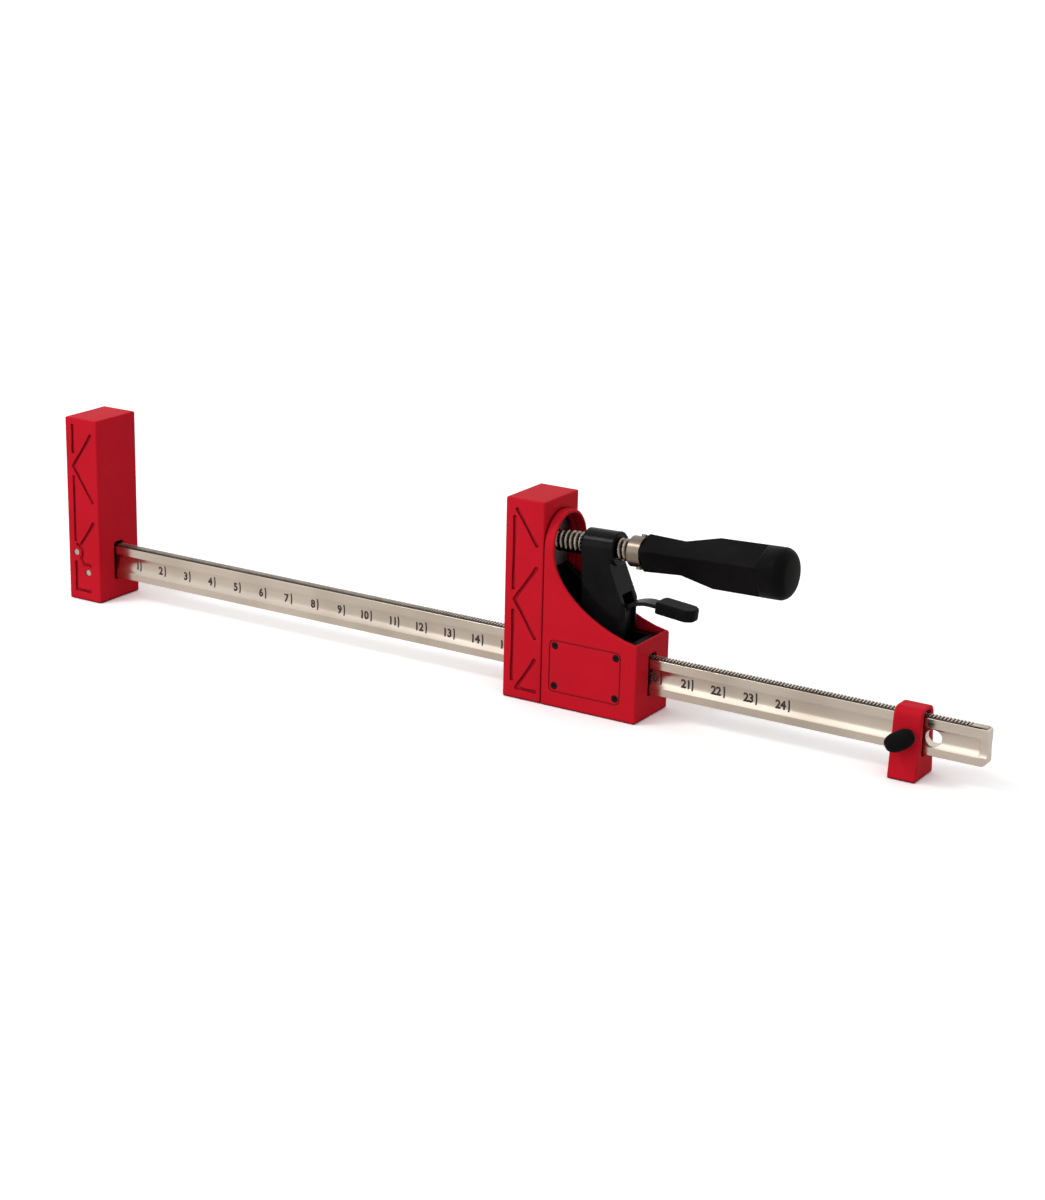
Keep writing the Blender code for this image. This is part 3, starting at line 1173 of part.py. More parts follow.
def build_thumbscrew(pad_frame, knob_frame, face):
    """The thumbscrew: an oval knob on a stud, and the pad on its tip that slides in and out without turning."""
    web = BAR_THICK / 2 - RECESS_DEPTH
    pad_outer = web + SEAT_GAP
    pad = rod("stop_pad", "Y", (0, -pad_outer - PAD_SOCKET_DEPTH, 0), PAD_RADIUS, PAD_SOCKET_DEPTH, "bronze", pad_frame)
    socket_bottom = pad_outer + PAD_SOCKET_DEPTH - STUD_TIP_LENGTH
    boolean(pad, rod(
        "pad_socket_cutter", "Y", (0, -face, 0), STUD_TIP_RADIUS + SEAT_GAP, face - socket_bottom, None, pad_frame
    ))
    tip_end = socket_bottom + SEAT_GAP
    stud_end = pad_outer + PAD_SOCKET_DEPTH + SEAT_GAP
    knob_inner = face + KNOB_STAND_OFF
    stud_head = knob_inner + KNOB_DEPTH / 2
    stud = rod("thumbscrew_stud", "Y", (0, -stud_head, 0), STUD_RADIUS, stud_head - stud_end, "spindle_steel", knob_frame)
    boolean(stud, rod(
        "stud_tip_blank", "Y", (0, -stud_end - CUT_OVERRUN / 2, 0), STUD_TIP_RADIUS, stud_end + CUT_OVERRUN / 2 - tip_end, None, knob_frame
    ), "UNION")
    bm = bmesh.new()
    bmesh.ops.create_uvsphere(bm, u_segments=KNOB_STEPS * 2, v_segments=KNOB_STEPS, radius=1.0)
    for vert in bm.verts:
        vert.co = Vector([math.copysign(abs(value) ** KNOB_ROUND_SHARE, value) for value in vert.co])
    size = (KNOB_LENGTH / 2, KNOB_DEPTH / 2, KNOB_WIDTH / 2)
    bmesh.ops.scale(bm, verts=bm.verts, vec=size)
    place = Matrix.Translation((0, -knob_inner - KNOB_DEPTH / 2, 0)) @ Matrix.Rotation(-KNOB_TURN, 4, "Y")
    bmesh.ops.transform(bm, verts=bm.verts, matrix=place)
    knob = mesh_object("thumbscrew_knob", bm, "handle_black", knob_frame)
    smooth(knob)
    boolean(knob, rod(
        "knob_bore_cutter", "Y", (0, -stud_head - SEAT_GAP, 0), STUD_RADIUS + SEAT_GAP, stud_head, None, knob_frame
    ))


def main():
    """Build the whole clamp at rest."""
    clear_scene()
    build_bar()
    build_fixed_jaw()
    jaw = frame("moving_jaw_frame", (MOVING_X, 0, 0))
    casing_frame = frame("casing_frame", (JAW_THICK + SEAT_GAP, 0, 0), 0.0, jaw)
    build_moving_jaw(jaw, casing_frame)
    build_casing(casing_frame)
    build_screws(casing_frame)
    swivel_frame = frame("swivel_frame", SWIVEL, LEAN)
    build_spindle(swivel_frame)
    build_handle(swivel_frame)
    pivot = build_arm(swivel_frame)
    build_trigger_spring(swivel_frame, pivot)
    trigger_frame = frame("trigger_frame", pivot, 0.0, swivel_frame)
    build_trigger(trigger_frame)
    stop_frame = frame("stop_frame", (FACE_X + STOP_AT, 0, BAR_MIDDLE))
    face = build_end_stop(stop_frame)
    pad_frame = frame("pad_frame", (0, 0, 0), 0.0, stop_frame)
    knob_frame = frame("knob_frame", (0, 0, 0), 0.0, pad_frame)
    build_thumbscrew(pad_frame, knob_frame, face)


main()
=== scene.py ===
"""A parallel clamp dressed for its picture: ruled bar, two jaws, casing, screw, handle, lever and end stop.

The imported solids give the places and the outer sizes. The bar is built again here with its hollows, teeth
and ruler, the jaws' covers get their grooves, and the arm, the lever's grip and the end stop get rounded
edges. The other solids keep their shape, and each surface gets a finish of its own. Lengths are in metres,
and the fields whose names end in _mm are in millimetres.
"""

import json
import logging
import math
from dataclasses import dataclass, field, replace
from enum import Enum
from typing import Optional, Sequence

import bmesh
import bpy
from bmesh.types import BMFace, BMVert, BMesh
from bpy.types import Material, Node, NodeSocket, NodeTree, Object
from mathutils import Matrix, Vector


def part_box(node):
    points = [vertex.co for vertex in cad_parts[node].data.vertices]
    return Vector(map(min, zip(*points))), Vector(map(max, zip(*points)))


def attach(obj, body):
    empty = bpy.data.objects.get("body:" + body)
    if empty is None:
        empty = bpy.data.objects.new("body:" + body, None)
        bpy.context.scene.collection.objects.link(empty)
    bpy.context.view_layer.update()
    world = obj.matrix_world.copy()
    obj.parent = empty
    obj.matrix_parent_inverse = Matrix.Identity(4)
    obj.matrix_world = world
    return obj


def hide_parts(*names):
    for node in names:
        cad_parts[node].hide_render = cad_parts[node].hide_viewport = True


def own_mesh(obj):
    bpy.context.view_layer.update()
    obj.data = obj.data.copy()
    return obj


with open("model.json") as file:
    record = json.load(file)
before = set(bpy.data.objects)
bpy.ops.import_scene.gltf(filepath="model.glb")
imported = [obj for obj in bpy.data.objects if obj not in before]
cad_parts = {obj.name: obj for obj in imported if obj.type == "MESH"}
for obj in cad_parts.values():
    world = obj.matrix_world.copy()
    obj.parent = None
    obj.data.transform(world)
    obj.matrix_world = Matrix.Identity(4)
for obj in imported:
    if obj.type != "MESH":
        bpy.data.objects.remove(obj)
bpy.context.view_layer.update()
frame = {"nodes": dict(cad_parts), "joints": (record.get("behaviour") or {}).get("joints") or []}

MM = 0.001
MM_IN_METRE = 1000
INCH = 0.0254
HAIR = 0.000001  # two places nearer than this are one
WELD = 0.000004  # corners of a solid nearer than this are joined
FLAT_DEGREES = 0.6  # faces of a solid that meet at less than this become one
SHARP_DEGREES = 32.0
LOG = logging.getLogger("clamp")


# Small tools


def to_linear(hex_colour: str) -> tuple[float, float, float, float]:
    """Turn an sRGB hex colour into linear RGBA.

    Args:
        hex_colour: Six hex digits, with or without a leading hash.

    Returns:
        Linear red, green and blue, and an alpha of 1.
    """
    digits = hex_colour.lstrip("#")
    shares = [int(digits[at:at + 2], 16) / 255 for at in (0, 2, 4)]
    linear = [share / 12.92 if share <= 0.04045 else ((share + 0.055) / 1.055) ** 2.4 for share in shares]
    return (linear[0], linear[1], linear[2], 1.0)


def add_node(
    tree: NodeTree,
    kind: str,
    settings: Optional[dict] = None,
    values: Optional[dict] = None,
    links: Optional[dict] = None,
) -> Node:
    """Add a shader node with its settings, its sockets' values and what feeds them.

    Args:
        tree: The node tree to add to.
        kind: The node's type name.
        settings: Properties of the node itself.
        values: Default values by socket name or number.
        links: Output sockets by the name or number of the input that they feed.

    Returns:
        The new node.
    """
    node = tree.nodes.new(kind)
    for name, value in (settings or {}).items():
        setattr(node, name, value)
    for socket, value in (values or {}).items():
        node.inputs[socket].default_value = value
    for socket, source in (links or {}).items():
        tree.links.new(source, node.inputs[socket])
    return node


def piece_from(name: str, bm: BMesh) -> Object:
    """Turn a finished bmesh into an object at the origin, and free the bmesh.

    Args:
        name: The piece's name.
        bm: The mesh in the shared frame.

    Returns:
        The new object, linked to the scene.
    """
    mesh = bpy.data.meshes.new(name)
    bm.to_mesh(mesh)
    bm.free()
    piece = bpy.data.objects.new(name, mesh)
    bpy.context.scene.collection.objects.link(piece)
    return piece


def settle_modifiers(piece: Object) -> None:
    """Write a piece's modifiers into its mesh."""
    graph = bpy.context.evaluated_depsgraph_get()
    graph.update()
    made = bpy.data.meshes.new_from_object(piece.evaluated_get(graph))
    old = piece.data
    piece.modifiers.clear()
    piece.data = made
    made.name = piece.name
    bpy.data.meshes.remove(old)


def carve(piece: Object, tool: Object) -> None:
    """Cut a piece with a closed tool body, then take the tool away.

    Args:
        piece: The object to cut.
        tool: The body that cuts it.
    """
    modifier = piece.modifiers.new("carve", "BOOLEAN")
    modifier.operation = "DIFFERENCE"
    modifier.solver = "MANIFOLD"  # the exact solver left open edges where two grooves meet at one depth
    modifier.object = tool
    settle_modifiers(piece)
    bpy.data.objects.remove(tool)


def shade_by_angle(piece: Object, degrees: float = SHARP_DEGREES) -> None:
    """Shade a piece smooth, with its edges kept sharp above an angle and its wide faces kept flat."""
    piece.data.shade_smooth()
    piece.data.set_sharp_from_angle(angle=math.radians(degrees))
    even = piece.modifiers.new("even shading", "WEIGHTED_NORMAL")
    even.mode = "FACE_AREA"
    even.weight = 100
    even.keep_sharp = True


def round_off(piece: Object, voxel_mm: float, rounds: int) -> None:
    """Round every edge of a piece as a casting or a moulding is: an even fine mesh, then smoothed.

    Args:
        piece: The object.
        voxel_mm: The size of the fine mesh's cells.
        rounds: How many times it is smoothed, which sets the edges' radius.
    """
    even = piece.modifiers.new("even mesh", "REMESH")
    even.mode = "VOXEL"
    even.voxel_size = voxel_mm * MM
    smooth = piece.modifiers.new("rounded edges", "SMOOTH")
    smooth.factor = 0.5
    smooth.iterations = rounds
    settle_modifiers(piece)


def extruded(outline: Sequence[Vector], along: Vector) -> BMesh:
    """Extrude a closed outline into a prism.

    Args:
        outline: The outline's corners in order.
        along: The way and the length of the extrusion.

    Returns:
        A closed body with its faces outwards.
    """
    bm = bmesh.new()
    start = bm.faces.new([bm.verts.new(corner) for corner in outline])
    grown = bmesh.ops.extrude_face_region(bm, geom=[start])
    moved = [item for item in grown["geom"] if isinstance(item, BMVert)]
    bmesh.ops.translate(bm, verts=moved, vec=along)
    bmesh.ops.recalc_face_normals(bm, faces=bm.faces)
    return bm


def rod(name: str, centre: Vector, axis: Vector, radius: float, length: float, steps: int) -> Object:
    """Make a round bar about a centre, used to cut holes.

    Args:
        name: The body's name.
        centre: Its middle.
        axis: The way that it points.
        radius: Its radius.
        length: Its whole length.
        steps: Its number of sides.

    Returns:
        The new object.
    """
    bm = bmesh.new()
    turn = axis.to_track_quat("Z", "Y").to_matrix().to_4x4()
    bmesh.ops.create_cone(
        bm, cap_ends=True, segments=steps, radius1=radius, radius2=radius, depth=length,
        matrix=Matrix.Translation(centre) @ turn,
    )
    return piece_from(name, bm)


# Finishes


# The stretch of a pattern or mask that is spread over 0 to 1
CLOUD_SPAN = {"From Min": 0.30, "From Max": 0.62}
GLOSS_SPAN = {"From Min": 0.3, "From Max": 0.7}
EDGE_SPAN = {"From Min": 0.995, "From Max": 0.86}
EDGE_GRAIN_SPAN = {"From Min": 0.35, "From Max": 0.6}
EDGE_CLOUD_SPAN = {"From Min": 0.25, "From Max": 0.55}
FLECK_SPAN = {"From Min": 0.22, "From Max": 0.05}
EDGE_SAMPLES = 6


class Grain(Enum):
    """How a surface was made, which stretches its fine pattern along and across the bar."""

    MOULDED_OR_CAST = (1.0, 1.0, 1.0)
    DRAWN_ALONG = (0.02, 1.0, 1.0)
    TURNED = (3.0, 0.5, 0.5)


@dataclass(frozen=True)
class Finish:
    """One finish: its colours, gloss, fine pattern, edge wear with a painted highlight, and painted shade
    in corners.
    """

    name: str
    body: str
    shade: str
    # The paler colour of the edges: partly wear, partly a painted highlight
    worn_and_sheen: str
    # The colour that painted shade darkens towards in corners, grooves and thread roots
    painted_shade: str
    slot: str
    grain: Grain = Grain.MOULDED_OR_CAST
    metallic: float = 0.0
    roughness: float = 0.4
    roughness_spread: float = 0.08
    cloud_mm: float = 30.0
    grain_mm: float = 0.8
    grain_depth_mm: float = 0.02
    edge_mm: float = 0.5
    # How strongly the paler edges show, as wear and as a painted highlight
    wear_and_sheen: float = 0.35
    gloss_level: float = 0.5
    # Painted shade in corners: ambient occlusion's reach, where the shade starts and is full, and its
    # strength
    corner_mm: float = 3.0
    corner_shade: float = 0.6
    corner_open: float = 0.75
    corner_shut: float = 0.15
    fleck: float = 0.0
    fleck_mm: float = 2.5
    thread_centre: tuple[float, float, float] = (0.0, 0.0, 0.0)
    thread_axis: tuple[float, float, float] = (1.0, 0.0, 0.0)
    thread_dark_mm: float = 0.0
    thread_bright_mm: float = 0.0

    def material(self) -> Material:
        """Return this finish's material, made once."""
        found = bpy.data.materials.get(self.name)
        return found if found else self._build()

    def dress(self, piece: Object) -> None:
        """Put the finish on every face of a piece or solid."""
        made = self.material()
        if not piece.material_slots:
            piece.data.materials.append(made)
        for place in piece.material_slots:
            place.material = made

    def _build(self) -> Material:
        """Build the nodes: clouded colour, paler edges, painted corner shade, varied gloss and a fine
        relief.
        """
        made = bpy.data.materials.new(self.name)
        made.use_nodes = True
        made.diffuse_color = to_linear(self.body)
        tree = made.node_tree
        shader = tree.nodes["Principled BSDF"]
        shader.inputs["Metallic"].default_value = self.metallic
        shader.inputs["Specular IOR Level"].default_value = self.gloss_level
        place = add_node(tree, "ShaderNodeTexCoord")
        run = add_node(
            tree, "ShaderNodeMapping", values={"Scale": self.grain.value},
            links={"Vector": place.outputs["Object"]},
        )
        cloud = add_node(
            tree, "ShaderNodeTexNoise", values={"Scale": MM_IN_METRE / self.cloud_mm, "Detail": 3.0},
            links={"Vector": place.outputs["Object"]},
        )
        fine = add_node(
            tree, "ShaderNodeTexNoise",
            values={"Scale": MM_IN_METRE / self.grain_mm, "Detail": 4.0, "Roughness": 0.6},
            links={"Vector": run.outputs["Vector"]},
        )
        clouded = add_node(
            tree, "ShaderNodeMapRange", values=CLOUD_SPAN, links={"Value": cloud.outputs["Fac"]},
        )
        body = add_node(
            tree, "ShaderNodeMix", {"data_type": "RGBA"},
            {6: to_linear(self.shade), 7: to_linear(self.body)}, {0: clouded.outputs["Result"]},
        )
        rounded = add_node(
            tree, "ShaderNodeBevel", {"samples": EDGE_SAMPLES}, {"Radius": self.edge_mm * MM},
        )
        # Paler edges: partly wear, partly a painted highlight on every rounded edge
        worn_and_sheen = add_node(
            tree, "ShaderNodeMix", {"data_type": "RGBA"}, {7: to_linear(self.worn_and_sheen)},
            {0: self._edge_mask(tree, rounded, fine, cloud), 6: body.outputs[2]},
        )
        marked = worn_and_sheen.outputs[2]
        if self.fleck:
            marked = self._flecks(tree, place, marked)
        # Painted shade in the thread's roots, darker nearer the axis
        if self.thread_dark_mm:
            marked = self._shaded_roots(tree, place, marked)
        # Painted shade: ambient occlusion darkens corners, grooves and hollows towards the shade colour
        corners = add_node(
            tree, "ShaderNodeAmbientOcclusion", {"samples": EDGE_SAMPLES, "only_local": False},
            {"Distance": self.corner_mm * MM},
        )
        closed = add_node(
            tree, "ShaderNodeMapRange",
            values={"From Min": self.corner_open, "From Max": self.corner_shut, "To Max": self.corner_shade},
            links={"Value": corners.outputs["AO"]},
        )
        shaded_corners = add_node(
            tree, "ShaderNodeMix", {"data_type": "RGBA"}, {7: to_linear(self.painted_shade)},
            {0: closed.outputs["Result"], 6: marked},
        )
        tree.links.new(shaded_corners.outputs[2], shader.inputs["Base Color"])
        gloss = add_node(
            tree, "ShaderNodeMapRange",
            values={
                **GLOSS_SPAN, "To Min": self.roughness - self.roughness_spread,
                "To Max": self.roughness + self.roughness_spread,
            },
            links={"Value": fine.outputs["Fac"]},
        )
        tree.links.new(gloss.outputs["Result"], shader.inputs["Roughness"])
        relief = add_node(
            tree, "ShaderNodeBump", values={"Strength": 1.0, "Distance": self.grain_depth_mm * MM},
            links={"Height": fine.outputs["Fac"], "Normal": rounded.outputs["Normal"]},
        )
        tree.links.new(relief.outputs["Normal"], shader.inputs["Normal"])
        return made

    def _edge_mask(self, tree: NodeTree, rounded: Node, fine: Node, cloud: Node) -> NodeSocket:
        """Find the outer edges by how the rounded normal leaves the flat one, and break them up.

        Args:
            tree: The material's node tree.
            rounded: The bevel node.
            fine: The fine pattern.
            cloud: The clouded pattern.

        Returns:
            The socket with the share of paler edge, for wear and a painted highlight.
        """
        flat = add_node(tree, "ShaderNodeNewGeometry")
        match = add_node(
            tree, "ShaderNodeVectorMath", {"operation": "DOT_PRODUCT"}, None,
            {0: flat.outputs["Normal"], 1: rounded.outputs["Normal"]},
        )
        share = add_node(
            tree, "ShaderNodeMapRange", values=EDGE_SPAN, links={"Value": match.outputs["Value"]},
        )
        for pattern, span in ((fine, EDGE_GRAIN_SPAN), (cloud, EDGE_CLOUD_SPAN)):
            patches = add_node(
                tree, "ShaderNodeMapRange", values=span, links={"Value": pattern.outputs["Fac"]},
            )
            share = add_node(
                tree, "ShaderNodeMath", {"operation": "MULTIPLY"}, None,
                {0: patches.outputs["Result"], 1: share.outputs[0]},
            )
        scaled = add_node(
            tree, "ShaderNodeMath", {"operation": "MULTIPLY"}, {1: self.wear_and_sheen}, {0: share.outputs[0]},
        )
        return scaled.outputs["Value"]

    def _shaded_roots(self, tree: NodeTree, place: Node, colour: NodeSocket) -> NodeSocket:
        """Paint shade into a thread's roots: darker the nearer a spot lies to the screw's axis.

        Args:
            tree: The material's node tree.
            place: The texture coordinate node.
            colour: The colour so far.

        Returns:
            The socket with the darkened colour.
        """
        off = add_node(
            tree, "ShaderNodeVectorMath", {"operation": "SUBTRACT"}, {1: self.thread_centre},
            {0: place.outputs["Object"]},
        )
        across = add_node(
            tree, "ShaderNodeVectorMath", {"operation": "CROSS_PRODUCT"}, {1: self.thread_axis},
            {0: off.outputs["Vector"]},
        )
        radius = add_node(
            tree, "ShaderNodeVectorMath", {"operation": "LENGTH"}, None, {0: across.outputs["Vector"]},
        )
        root_shade = add_node(
            tree, "ShaderNodeMapRange",
            values={
                "From Min": self.thread_dark_mm * MM, "From Max": self.thread_bright_mm * MM,
                "To Min": 1.0, "To Max": 0.0,
            },
            links={"Value": radius.outputs["Value"]},
        )
        mixed = add_node(
            tree, "ShaderNodeMix", {"data_type": "RGBA"}, {7: to_linear(self.painted_shade)},
            {0: root_shade.outputs["Result"], 6: colour},
        )
        return mixed.outputs[2]

    def _flecks(self, tree: NodeTree, place: Node, colour: NodeSocket) -> NodeSocket:
        """Scatter small darker specks, as a cast skin shows.

        Args:
            tree: The material's node tree.
            place: The texture coordinate node.
            colour: The colour so far.

        Returns:
            The socket with the flecked colour.
        """
        spots = add_node(
            tree, "ShaderNodeTexVoronoi", {"feature": "F1"}, {"Scale": MM_IN_METRE / self.fleck_mm},
            {"Vector": place.outputs["Object"]},
        )
        near = add_node(
            tree, "ShaderNodeMapRange", values={**FLECK_SPAN, "To Max": self.fleck},
            links={"Value": spots.outputs["Distance"]},
        )
        mixed = add_node(
            tree, "ShaderNodeMix", {"data_type": "RGBA"}, {7: to_linear(self.shade)},
            {0: near.outputs["Result"], 6: colour},
        )
        return mixed.outputs[2]


# Injection-moulded glass-filled nylon: an even red with a soft gloss, paler where its edges rub
# Its paler edges are partly wear and partly a painted highlight, and painted shade darkens its grooves
RED_NYLON = Finish(
    "moulded_red_nylon", body="#C8192A", shade="#BF1726", worn_and_sheen="#D84A52", painted_shade="#4C060E", slot="jaw_red",
    roughness=0.48, roughness_spread=0.06, gloss_level=0.03, cloud_mm=45.0, grain_mm=0.7,
    grain_depth_mm=0.012, edge_mm=0.9, wear_and_sheen=0.30, corner_mm=3.2, corner_shade=0.85, corner_open=0.88,
    corner_shut=0.42,
)
# Cold-drawn steel bar with a warm nickel plate: long fine lines that run with the bar
DRAWN_STEEL = Finish(
    "drawn_nickel_plated_steel", body="#D0C4B7", shade="#BDB1A3", worn_and_sheen="#F6F0E6", painted_shade="#2A231D",
    slot="bar_steel", grain=Grain.DRAWN_ALONG, metallic=1.0, roughness=0.19, roughness_spread=0.05,
    cloud_mm=60.0, grain_mm=0.9, grain_depth_mm=0.004, edge_mm=0.5, wear_and_sheen=0.6, corner_mm=1.6,
    corner_shade=0.95,
)
# The same steel, milled, on the teeth and the fixed jaw's pins: bright crests, with painted shade in the
# roots
# Its bright crests are partly wear and partly a painted highlight
MILLED_STEEL = Finish(
    "milled_tooth_steel", body="#C8BCAF", shade="#A99C8E", worn_and_sheen="#F4EEE4", painted_shade="#1C1612", slot="bar_steel",
    metallic=1.0, roughness=0.30, roughness_spread=0.07, cloud_mm=9.0, grain_mm=0.5, grain_depth_mm=0.01,
    edge_mm=0.12, wear_and_sheen=0.5, corner_mm=2.4, corner_shade=1.0, corner_open=0.90, corner_shut=0.50,
)
# Black oxide on a sand casting: a skin of fine grit, with painted shade in the hollows, that shines on the
# edges
# Its paler edges are partly wear and partly a painted highlight
BLACK_CASTING = Finish(
    "black_oxide_casting", body="#131213", shade="#0A090A", worn_and_sheen="#5A544E", painted_shade="#030303",
    slot="cast_black", roughness=0.22, roughness_spread=0.05, gloss_level=0.07, cloud_mm=18.0,
    grain_mm=0.9, grain_depth_mm=0.014, edge_mm=0.7, wear_and_sheen=0.22, corner_mm=4.0, corner_shade=0.7,
    fleck=0.25, fleck_mm=1.8,
)
# Pressed steel with black paint, on the lever and the casing's screws: smooth, with a low gloss
BLACK_STRIP = Finish(
    "painted_pressed_strip", body="#171617", shade="#0F0E0F", worn_and_sheen="#5E5953", painted_shade="#040404",
    slot="lever_black", roughness=0.34, roughness_spread=0.07, gloss_level=0.10, cloud_mm=15.0,
    grain_mm=0.6, grain_depth_mm=0.015, edge_mm=0.4, wear_and_sheen=0.35, corner_mm=2.5, corner_shade=0.6,
)
# Rolled and turned screw steel with a bright plate: hard narrow highlights, darker where it is closed in
# The darker places are painted shade; the pale crests are partly wear and partly a painted highlight
THREAD_STEEL = Finish(
    "rolled_thread_steel", body="#AFA497", shade="#867B70", worn_and_sheen="#FAF6EE", painted_shade="#15110E",
    slot="spindle_steel", grain=Grain.TURNED, metallic=1.0, roughness=0.16, roughness_spread=0.06,
    cloud_mm=5.0, grain_mm=0.5, grain_depth_mm=0.012, edge_mm=0.45, wear_and_sheen=0.8, corner_mm=3.4,
    corner_shade=1.0, corner_open=0.90, corner_shut=0.40,
)
# Turned collar steel, polished and plated: a soft warm grey sheen
COLLAR_STEEL = Finish(
    "polished_collar_steel", body="#82776B", shade="#74695E", worn_and_sheen="#EFE8DD", painted_shade="#3A322B",
    slot="spindle_steel", grain=Grain.TURNED, metallic=1.0, roughness=0.30, roughness_spread=0.05,
    cloud_mm=12.0, grain_mm=0.5, grain_depth_mm=0.004, edge_mm=0.4, wear_and_sheen=0.4, corner_mm=1.5,
    corner_shade=0.6,
)
# Zinc-plated hot-rolled plate, dull grey
GREY_PLATE = Finish(
    "dull_zinc_plate", body="#6C6C69", shade="#565653", worn_and_sheen="#A5A39E", painted_shade="#1A1917", slot="plate_steel",
    metallic=0.9, roughness=0.46, cloud_mm=10.0, edge_mm=0.4, wear_and_sheen=0.4,
)
# Two-part handle moulding in black polypropylene: a dry, faintly grained skin
BLACK_GRIP = Finish(
    "grained_black_polypropylene", body="#131213", shade="#090809", worn_and_sheen="#2B2929", painted_shade="#020202",
    slot="handle_black", roughness=0.42, roughness_spread=0.06, gloss_level=0.028, cloud_mm=25.0,
    grain_mm=0.55, grain_depth_mm=0.03, edge_mm=0.8, wear_and_sheen=0.25, corner_mm=2.0, corner_shade=0.5,
)
# Turned brass, slightly dulled
BRASS = Finish(
    "turned_brass", body="#B59452", shade="#997A40", worn_and_sheen="#DDBF80", painted_shade="#3A2A12", slot="insert_brass",
    grain=Grain.TURNED, metallic=1.0, roughness=0.30, roughness_spread=0.06, cloud_mm=6.0, grain_mm=0.5,
    grain_depth_mm=0.008, edge_mm=0.3, wear_and_sheen=0.3, corner_mm=1.5, corner_shade=0.5,
)
# Etched and inked marks on the bar: a brown-black ink with thin places
RULER_INK = Finish(
    "etched_ruler_ink", body="#241C18", shade="#332A25", worn_and_sheen="#332A25", painted_shade="#120E0C",
    slot="handle_black", roughness=0.55, roughness_spread=0.08, cloud_mm=1.2, grain_mm=0.4,
    grain_depth_mm=0.004, edge_mm=0.05, wear_and_sheen=0.0, corner_mm=0.5, corner_shade=0.2,
)


def restyle_node(node: str, finish: Finish) -> None:
    """Give a solid that stays its finish."""
    finish.dress(frame["nodes"][node])
    LOG.info("solid %s wears %s", node, finish.name)


def seat_piece(piece: Object, body: str, finish: Finish, *nodes: str) -> Object:
    """Finish a piece, let it ride on its body and stand for the solids that it replaces.

    Args:
        piece: The new piece.
        body: The body that it moves with.
        finish: Its finish.
        nodes: The solids that it stands for.

    Returns:
        The piece.
    """
    finish.dress(piece)
    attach(piece, body)
    if nodes:
        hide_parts(*nodes)
    LOG.info("piece %s rides on %s, %d faces", piece.name, body, len(piece.data.polygons))
    return piece


def refined_copy(
    node: str, body: str, finish: Finish, degrees: float = SHARP_DEGREES, voxel_mm: float = 0.0,
    rounds: int = 0,
) -> Object:
    """Stand a smoothly shaded copy in for a solid.

    Args:
        node: The solid.
        body: The body that it moves with.
        finish: The copy's finish.
        degrees: Edges above this angle stay sharp.
        voxel_mm: The cell size for rounding its edges, or 0 to keep them.
        rounds: How many times a copy with rounded edges is smoothed.

    Returns:
        The copy.
    """
    bm = bmesh.new()
    bm.from_mesh(frame["nodes"][node].data)
    bmesh.ops.remove_doubles(bm, verts=bm.verts, dist=WELD)
    bmesh.ops.dissolve_limit(
        bm, angle_limit=math.radians(FLAT_DEGREES), verts=bm.verts, edges=bm.edges,
        use_dissolve_boundaries=False,
    )
    piece = piece_from(node + "_skin", bm)
    if voxel_mm:
        round_off(piece, voxel_mm, rounds)
    shade_by_angle(piece, degrees)
    return seat_piece(piece, body, finish, node)


# The bar


